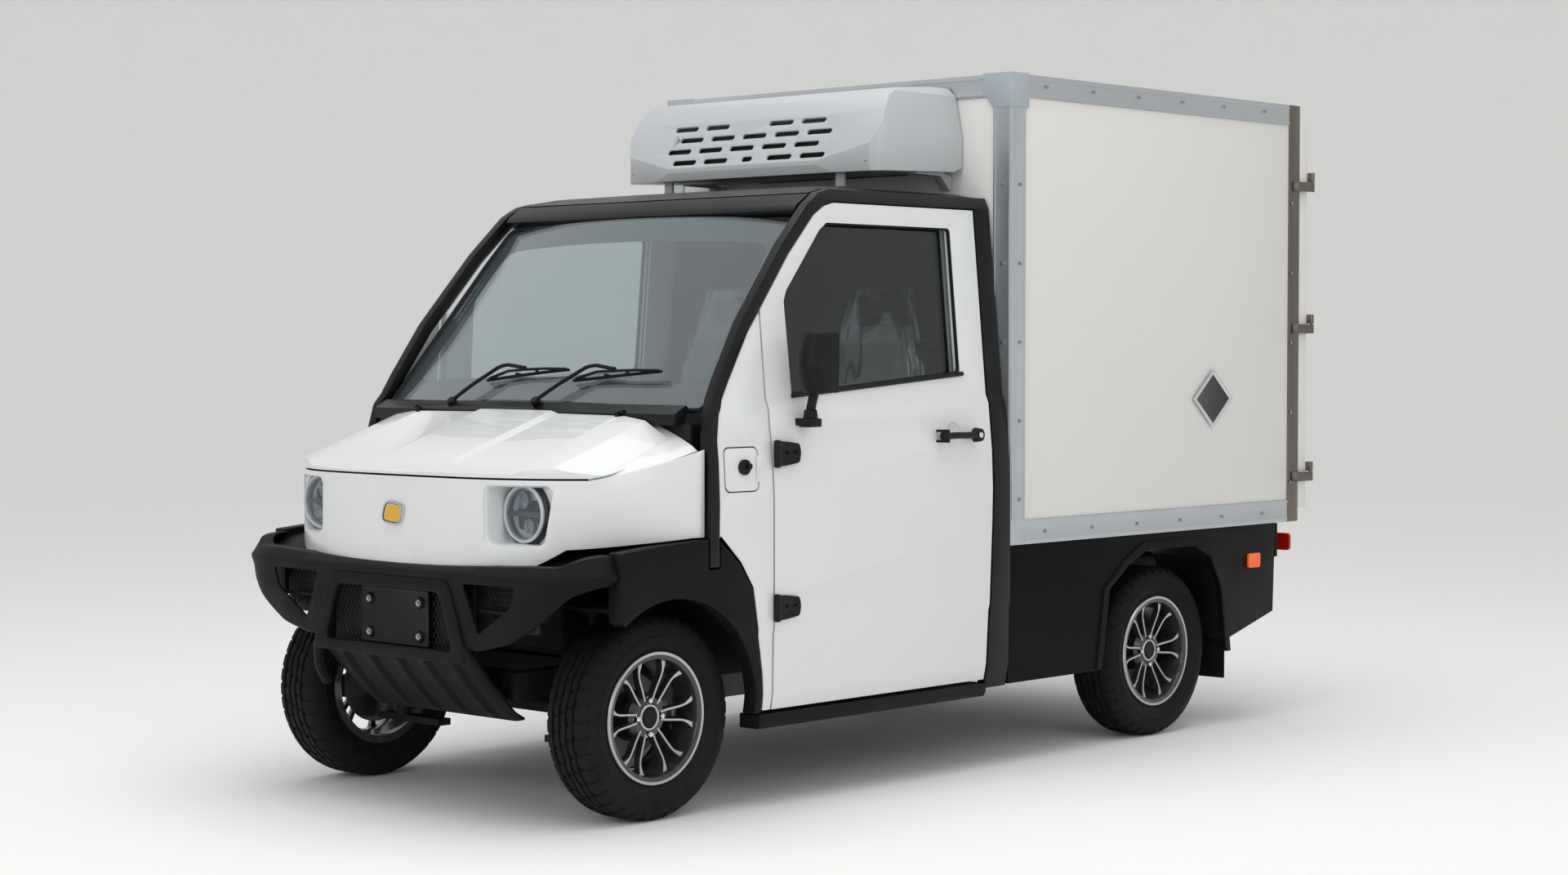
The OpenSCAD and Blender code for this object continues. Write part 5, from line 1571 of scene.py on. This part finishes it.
@dataclass
class Doors:
    """Two doors with seals, hinges, handle, lock and mirror."""

    # Outline of the window, in (y, z)
    window: tuple[tuple[float, float], ...] = ((448, 1072), (442, 1318), (454, 1345), (600, 1508),
                                               (632, 1530), (1142, 1530), (1150, 1522), (1150, 1124))
    hinges: tuple[float, ...] = (521.0, 921.0)
    handle: tuple[float, float, float] = (711.0, 1022.0, 951.0)
    mirror: tuple[float, float] = (712.0, 466.0)
    # Half-width of the cab's skin at each height, in (z, x)
    skin: tuple[tuple[float, float], ...] = ((230, 676), (300, 688), (452, 690), (470, 694), (800, 694),
                                             (905, 688), (1040, 672), (1064, 662), (1592, 612))

    def build(self) -> None:
        """Build both doors."""
        for hand in ("left", "right"):
            self.turn = 1 if hand == "left" else -1
            self._skin(hand)
            self._seals(hand)
            self._hinges(hand)
            self._handle(hand)
            self._mirror(hand)
            refine(f"window_{hand}", TINTED_GLASS, 0.0)

    def _at(self, x: float, y: float, z: float) -> Vector:
        """Place a point on this door's side of the truck."""
        return at(self.turn * x, y, z)

    def _skin_x(self, z: float) -> float:
        """Return the half-width of the cab's skin at a height."""
        for (za, xa), (zb, xb) in zip(self.skin, self.skin[1:]):
            if z <= zb:
                return xa + (xb - xa) * (z - za) / (zb - za)
        return self.skin[-1][1]

    def _skin(self, hand: str) -> None:
        """Dress the door's shell, with its fittings in black."""
        door = Blank.copy_of(f"door_{hand}").round_edges(2.2, 3)
        door.paint(WHITE_PAINT)
        door.paint(BLACK_ABS, lambda m, n: abs(m.x) > 0.6942 or (abs(m.x) > 0.667 and 0.99 < m.z < 1.013
                                                               and m.y < at(0, 490, 0).y))
        door.dress(f"door_{hand}", replaces=[f"door_{hand}"], slot="gloss_white", sharp=25)

    def _seals(self, hand: str) -> None:
        """Run the rubber round the window and the black rail below it."""
        outline = rounded(self.window, 16, 4)
        loop = [self._at(self._skin_x(z) - 7, y, z) for y, z in outline]
        path = evenly(loop + loop[:1], 161)[:-1]
        seal = Blank.rod(f"window_seal_{hand}", path, 6.0, 10, closed=True)
        seal.dress(f"door_{hand}", SEAL_RUBBER)
        ends = [self._at(self._skin_x(z) + 0.5, y, z - 3) for y, z in ((446, 1072), (1160, 1125))]
        rail = Blank.rod(f"window_rail_{hand}", evenly(ends, 20), 6.5, 12)
        rail.dress(f"door_{hand}", BLACK_ABS)

    def _hinges(self, hand: str) -> None:
        """Cast the hinge leaves, with a barrel, a pin head and two screws each."""
        pieces = []
        out = Vector((self.turn * 10 * MM, 0, 0))
        for z in self.hinges:
            outline = rounded([(358, z - 33), (388, z - 31), (436, z - 25), (442, z), (436, z + 25),
                               (388, z + 31), (358, z + 33)], 8, 3)
            leaf = Blank.plate("leaf", [self._at(692, y, h) for y, h in outline], out)
            leaf.pick(lambda m, n: n.x * self.turn > 0.9).inset(4, 0).inset(1.5, -1.5)
            leaf.round_edges(1.4, 2)
            barrel = Blank.drum("barrel", self._at(701, 352, z - 34), self._at(701, 352, z + 34), 9.5,
                                sides=24)
            barrel.pick(lambda m, n: abs(n.z) > 0.9).inset(2).inset(1, 2).round_edges(0.8)
            screws = [Blank.drum("screw", self._at(700, y, z + 2), self._at(706, y, z + 2), 5, 4, 12)
                      .round_edges(0.8) for y in (392, 426)]
            pieces += [leaf, barrel, *screws]
        hinge = pieces[0].join(*pieces[1:])
        hinge.obj.name = f"door_hinges_{hand}"
        hinge.dress(f"door_{hand}", BLACK_ABS, sharp=35)

    def _handle(self, hand: str) -> None:
        """Mould the pull handle with its lock barrel, and the dish behind it."""
        x, y, z = self.handle
        grip = evenly([self._at(x + 2, y - 4, z), self._at(x + 6, y + 40, z + 1),
                       self._at(x + 6, y + 90, z), self._at(x + 4, y + 128, z)], 20)
        body = Blank.rod("grip", grip, 9.5, 14)
        boss = Blank.drum("boss", self._at(x - 8, y + 140, z), self._at(x + 12, y + 140, z), 21, 18, 36)
        foot = Blank.drum("foot", self._at(x - 9, y, z), self._at(x + 10, y, z), 15, 13, 32)
        lock = Blank.drum(f"handle_lock_{hand}", self._at(x + 10, y + 140, z),
                          self._at(x + 15, y + 140, z), 9, 8, 28)
        for part in (boss, foot):
            part.pick(lambda m, n: n.x * self.turn > 0.9).inset(3).inset(1, 1.2)
            part.round_edges(2.0, 3)
        body.join(boss, foot)
        body.obj.name = f"pull_handle_{hand}"
        body.dress(f"handle_{hand}", BLACK_ABS, [f"handle_{hand}"], sharp=40)
        lock.pick(lambda m, n: n.x * self.turn > 0.9).inset(3).inset(1, -1.5)
        lock.round_edges(0.8).dress(f"handle_{hand}", CHROME)
        rows = []
        for radius, deep in ((41, 0.6), (38, 0.9), (34, 5), (26, 11), (12, 14), (1, 14.5)):
            ring = []
            for k in range(33):
                a = math.tau * k / 32
                h = z + radius * math.sin(a)
                ring.append(self._at(self._skin_x(h) + 0.9 - deep, 1092 + radius * math.cos(a), h))
            rows.append(ring)
        dish = Blank.skin(f"handle_dish_{hand}", rows).weld().face_out().thicken(1.0, 0.0)
        dish.dress(f"door_{hand}", WHITE_PAINT, sharp=60)

    def _mirror(self, hand: str) -> None:
        """Mould the mirror: foot, bent arm and a round-cornered head with its glass."""
        x, y = self.mirror
        head = Blank.cube("head", self._at(701, y - 62, 1078), self._at(790, y + 30, 1236))
        head.pick().op(bpy.ops.mesh.subdivide, number_cuts=3)
        centre = self._at(745.5, y - 16, 1157)

        def swell(p: Vector) -> Vector:
            """Crown the front of the head and round its corners in."""
            u, w = (p.x - centre.x) / 0.042, (p.z - centre.z) / 0.075
            front = max(0.0, (centre.y - p.y) / 0.046)
            p.y += front * (0.020 * (u * u + w * w) - 0.006)
            p.x -= (p.x - centre.x) * 0.10 * max(0.0, -w)
            return p

        head.shape(swell).round_edges(15.0, 4, 40).smooth(1)
        arm = Blank.rod("arm", evenly([self._at(x, y, 1010), self._at(x + 2, y, 1040),
                                       self._at(x + 12, y - 2, 1068), self._at(x + 24, y - 4, 1100)], 14),
                        13, 16)
        foot = Blank.drum("foot", self._at(x, y, 1010), self._at(x, y, 1034), 20, 17, 32)
        foot.round_edges(3, 3)
        base = Blank.cube("base", self._at(690, y - 24, 988), self._at(732, y + 24, 1011))
        base.round_edges(4, 3).dress(f"door_{hand}", BLACK_ABS)
        base.obj.name = f"mirror_base_{hand}"
        head.join(arm, foot)
        head.obj.name = f"mirror_head_{hand}"
        head.dress(f"mirror_{hand}", BLACK_ABS, [f"mirror_{hand}"], sharp=50)
        shape = rounded([(-34, -60), (34, -60), (36, 62), (-36, 62)], 16, 5)
        glass = Blank.plate(f"mirror_glass_{hand}",
                            [centre + Vector((u, 43, w)) * MM for u, w in shape], Vector((0, 0.0035, 0)))
        glass.round_edges(0.8).dress(f"mirror_{hand}", MIRROR_GLASS)


# ------------------------------------------------------------------ cabin


@dataclass
class Seats:
    """Two seats: padded cushion and back in woven cloth, under the film they were delivered in."""

    middle: float = 300.0
    swelling: float = 12.0

    def build(self) -> None:
        """Pad both seats."""
        for hand, turn in (("left", 1), ("right", -1)):
            x = turn * self.middle
            runners = Blank.copy_of(f"seat_{hand}", f"seat_base_{hand}")
            runners.cut(Blank.cube("above", at(x - 260, 700, 660), at(x + 260, 1300, 1500)))
            runners.round_edges(2.0).dress(f"seat_{hand}", CABIN, [f"seat_{hand}"])
            self._pad(f"seat_cushion_{hand}", hand, at(x - 200, 815, 652), at(x + 200, 1185, 734), 0.0)
            self._pad(f"seat_back_{hand}", hand, at(x - 192, 1128, 766), at(x + 192, 1162, 1228), 0.165)
            self._pad(f"headrest_{hand}", hand, at(x - 108, 1222, 1258), at(x + 108, 1256, 1352), 0.0)
            self._film(hand, x)

    def _pad(self, name: str, hand: str, low: Vector, high: Vector, lean: float) -> None:
        """Blow up one pad by cloth simulation and sew its channels."""
        pad = Blank.cube(name, low, high).round_edges(16, 3)
        pad.shape(lambda p: Vector((p.x, p.y + lean * (p.z - low.z), p.z)))
        pad.modify("REMESH", mode="VOXEL", voxel_size=0.0075)
        before = [v.co.copy() for v in pad.obj.data.vertices]
        cloth = pad.obj.modifiers.new("Cloth", "CLOTH")
        cloth.settings.use_pressure = True
        cloth.settings.uniform_pressure_force = 4.0
        cloth.settings.effector_weights.gravity = 0.0
        scene = bpy.context.scene
        for step in range(1, 21):
            scene.frame_set(step)
        grown = pad.obj.evaluated_get(bpy.context.evaluated_depsgraph_get())
        after = [v.co.copy() for v in grown.data.vertices]
        pad.obj.modifiers.clear()
        scene.frame_set(1)
        cap = self.swelling * MM
        for vertex, a, b in zip(pad.obj.data.vertices, before, after):
            move = b - a
            vertex.co = a + move * min(1.0, cap / max(move.length, 1e-9))
        pad.obj.data.update()
        self._channels(pad, low, high, lean)
        pad.smooth(1).dress(f"seat_{hand}", SEAT_CLOTH, sharp=60)

    def _channels(self, pad: Blank, low: Vector, high: Vector, lean: float) -> None:
        """Draw the sewn channels in: two lengthwise and one across."""
        middle, half = (low + high) / 2, (high - low) / 2
        upright = half.z > half.y

        def sewn(p: Vector) -> Vector:
            """Sink a point near a seam."""
            across = abs(abs(p.x - middle.x) - half.x * 0.56)
            along = abs(p.z - middle.z - half.z * 0.3) if upright else abs(p.y - middle.y)
            sink = 0.006 * (math.exp(-((across / 0.009) ** 2)) + math.exp(-((along / 0.009) ** 2)))
            front = p.y < middle.y + lean * (p.z - low.z) if upright else p.z > middle.z
            if front:
                p += Vector((0, sink, 0)) if upright else Vector((0, 0, -sink))
            return p

        pad.shape(sewn)

    def _film(self, hand: str, x: float) -> None:
        """Drape the clear film over the seat's back, creased by a rule."""
        rows = []
        for i in range(41):
            t = i / 40
            row = []
            for k in range(65):
                a = math.tau * k / 64
                wide = 222 - 100 * t**2.2 - 18 * t
                crease = 3.5 * math.sin(9 * a + 5 * t) * math.sin(7 * t + 2 * a)
                crease += 1.5 * math.sin(23 * a + 11 * t)
                squarish = (abs(math.cos(a)) ** 0.6) * math.copysign(1, math.cos(a))
                deep = 30 + 4 * (1 - t)
                row.append(at(x + (wide + crease) * squarish,
                              1146 + 84 * t + (deep + crease) * math.sin(a), 790 + 588 * t))
            rows.append(row)
        tip = at(x, 1230, 1386)
        rows.append([tip + (p - tip) * 0.35 + Vector((0, 0, 0.004)) for p in rows[-1]])
        film = Blank.skin(f"seat_film_{hand}", rows).weld().face_out()
        film.dress(f"seat_{hand}", PLASTIC_FILM, sharp=70)


# ------------------------------------------------------------------ cargo box


@dataclass
class CargoBox:
    """Rails, castings and trim plates of the box."""

    width: float = 1380.0
    front: float = 1337.0
    top: float = 1976.0

    def build(self) -> None:
        """Dress the box's frame, trim plates and charging flap."""
        half = self.width / 2 * MM
        front, back = at(0, self.front, 0).y, at(0, 2780, 0).y
        low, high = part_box("box_rails")
        rails = Blank.copy_of("box_rails").round_edges(0.8, 2)
        rails.paint(ANODISED)
        rails.paint(ANODISED_UPRIGHT, lambda m, n: m.y < front + 0.07
                    and low.z + 0.075 < m.z < high.z - 0.09)
        rails.paint(CORNER_CASTING, lambda m, n: m.y < front + 0.079 and m.z > high.z - 0.1
                    and abs(m.x) > half - 0.101)
        rails.dress("chassis", replaces=["box_rails"], slot="rail_aluminium", sharp=30)
        for hand, turn in (("left", 1), ("right", -1)):
            x = turn * (self.width / 2 + 2.5)
            rim = [at(x, 2350 + y, 1035 + z) for y, z in ((-107, 0), (0, -92), (107, 0), (0, 92))]
            plate = Blank.plate(f"diamond_plate_{hand}", rim, Vector((turn * 5 * MM, 0, 0)))
            plate.pick(lambda m, n: n.x * turn > 0.9).inset(9).inset(2, -2.5)
            plate.round_edges(0.8, 2).paint(CHROME)
            plate.paint(BLACK_GLOSS_AND_SHADE, lambda m, n: n.x * turn > 0.9 and abs(m.z - 1.035) < 0.01)
            plate.dress("chassis", replaces=["trim_plates"] if turn > 0 else (), slot="bright_trim")
        flap = Blank.copy_of("charge_flap").round_edges(1.5, 2)
        lock = at(690, 236, 890)
        flap.paint(WHITE_PAINT)
        flap.paint(BLACK_ABS, lambda m, n: m.x > 0.6905 and (m - lock).length < 0.022)
        flap.dress("charge_flap", replaces=["charge_flap"], slot="gloss_white")
        knob = Blank.drum("charge_flap_knob", at(694, 246, 892), at(706, 246, 892), 7, 8.5, 24)
        knob.round_edges(2, 3).dress("charge_flap", BLACK_ABS)


@dataclass
class CoolingUnit:
    """Cover of the refrigeration unit, with a black sheet behind its slots as painted shade."""

    def build(self) -> None:
        """Dress the unit."""
        refine("reefer_shell", UNIT_GREY, 4.0, 3, 14.0)
        # Painted shade: a matt black sheet just behind the slots stands in for the shade inside the unit
        slope = [(964, 1716), (1018, 1862), (1034, 1892)]
        rows = [[at(x, y, z) for x in (-470, -200, 200, 470)] for y, z in slope]
        screen = Blank.skin("cooling_unit_painted_shade_sheet", rows).thicken(2.0, 1.0).face_out()
        screen.dress("chassis", SPOT_BLACK)


# ------------------------------------------------------------------ plain parts


@dataclass
class PlainParts:
    """The parts whose own shape is right: merged, with their edges broken, and dressed."""

    # Rounding in millimetres for the nodes whose edges aren't broken by the usual 1.5
    edges: dict[str, float] = field(default_factory=lambda: {
        "rear_springs": 0.0, "spring_left": 0.0, "spring_right": 0.0, "arch_trims": 12.0,
        "cab_frame": 5.0, "cab_roof": 8.0, "reefer_fan": 0.6, "hardware": 0.8, "dashboard": 6.0,
        "box_body": 1.0, "box_rails": 0.8, "side_fenders": 2.0, "charge_socket": 2.0,
    })
    finishes: dict[str, Finish | Pane] = field(default_factory=lambda: {
        "gloss_white": WHITE_PAINT, "black_chassis": CHASSIS_BLACK, "black_plastic": BLACK_PP,
        "black_frame": POWDER_BLACK, "box_panel": GELCOAT, "rail_aluminium": ANODISED,
        "dark_steel": STAINLESS, "zinc_steel": ZINC, "cast_metal": CAST_IRON,
        "spring_red": SPRING_RED, "screen_glass": SCREEN_GLASS, "tinted_glass": TINTED_GLASS,
        "lamp": LAMP_BLACK, "bright_trim": CHROME, "interior": CABIN, "unit_shell": UNIT_GREY,
        "battery_case": BATTERY_GREY,
    })

    def build(self) -> None:
        """Dress every node that no other piece stands for."""
        for subpart in frame["record"]["subparts"]:
            node = subpart["node"]
            if not frame["nodes"][node].hide_render:
                finish = self.finishes[subpart["material_slot"]]
                if node == "side_skirts":
                    finish = SKIRT_BLACK
                if node.startswith("cargo_door"):
                    self._cargo_door(node)
                    continue
                refine(node, finish, self.edges.get(node, 1.5), 3 if self.edges.get(node, 0) > 2 else 2)

    def _cargo_door(self, node: str) -> None:
        """Dress a cargo door: gelcoat with steel hinges and guides."""
        skin = at(0, 2896, 0).y
        door = Blank.copy_of(node).round_edges(1.5, 2)
        door.paint(GELCOAT).paint(STAINLESS, lambda m, n: m.y > skin or abs(m.x) > 0.689)
        door.dress(node, replaces=[node], slot="box_panel", sharp=30)


def main() -> None:
    """Build the truck's looks in order."""
    logging.basicConfig(level=logging.INFO, format="%(name)s: %(message)s")
    Studio().build()
    for part in (Wheels, Nose, Bumper, Screen, Doors, Seats, CargoBox, CoolingUnit, PlainParts):
        part().build()


if __name__ == "__main__":
    main()
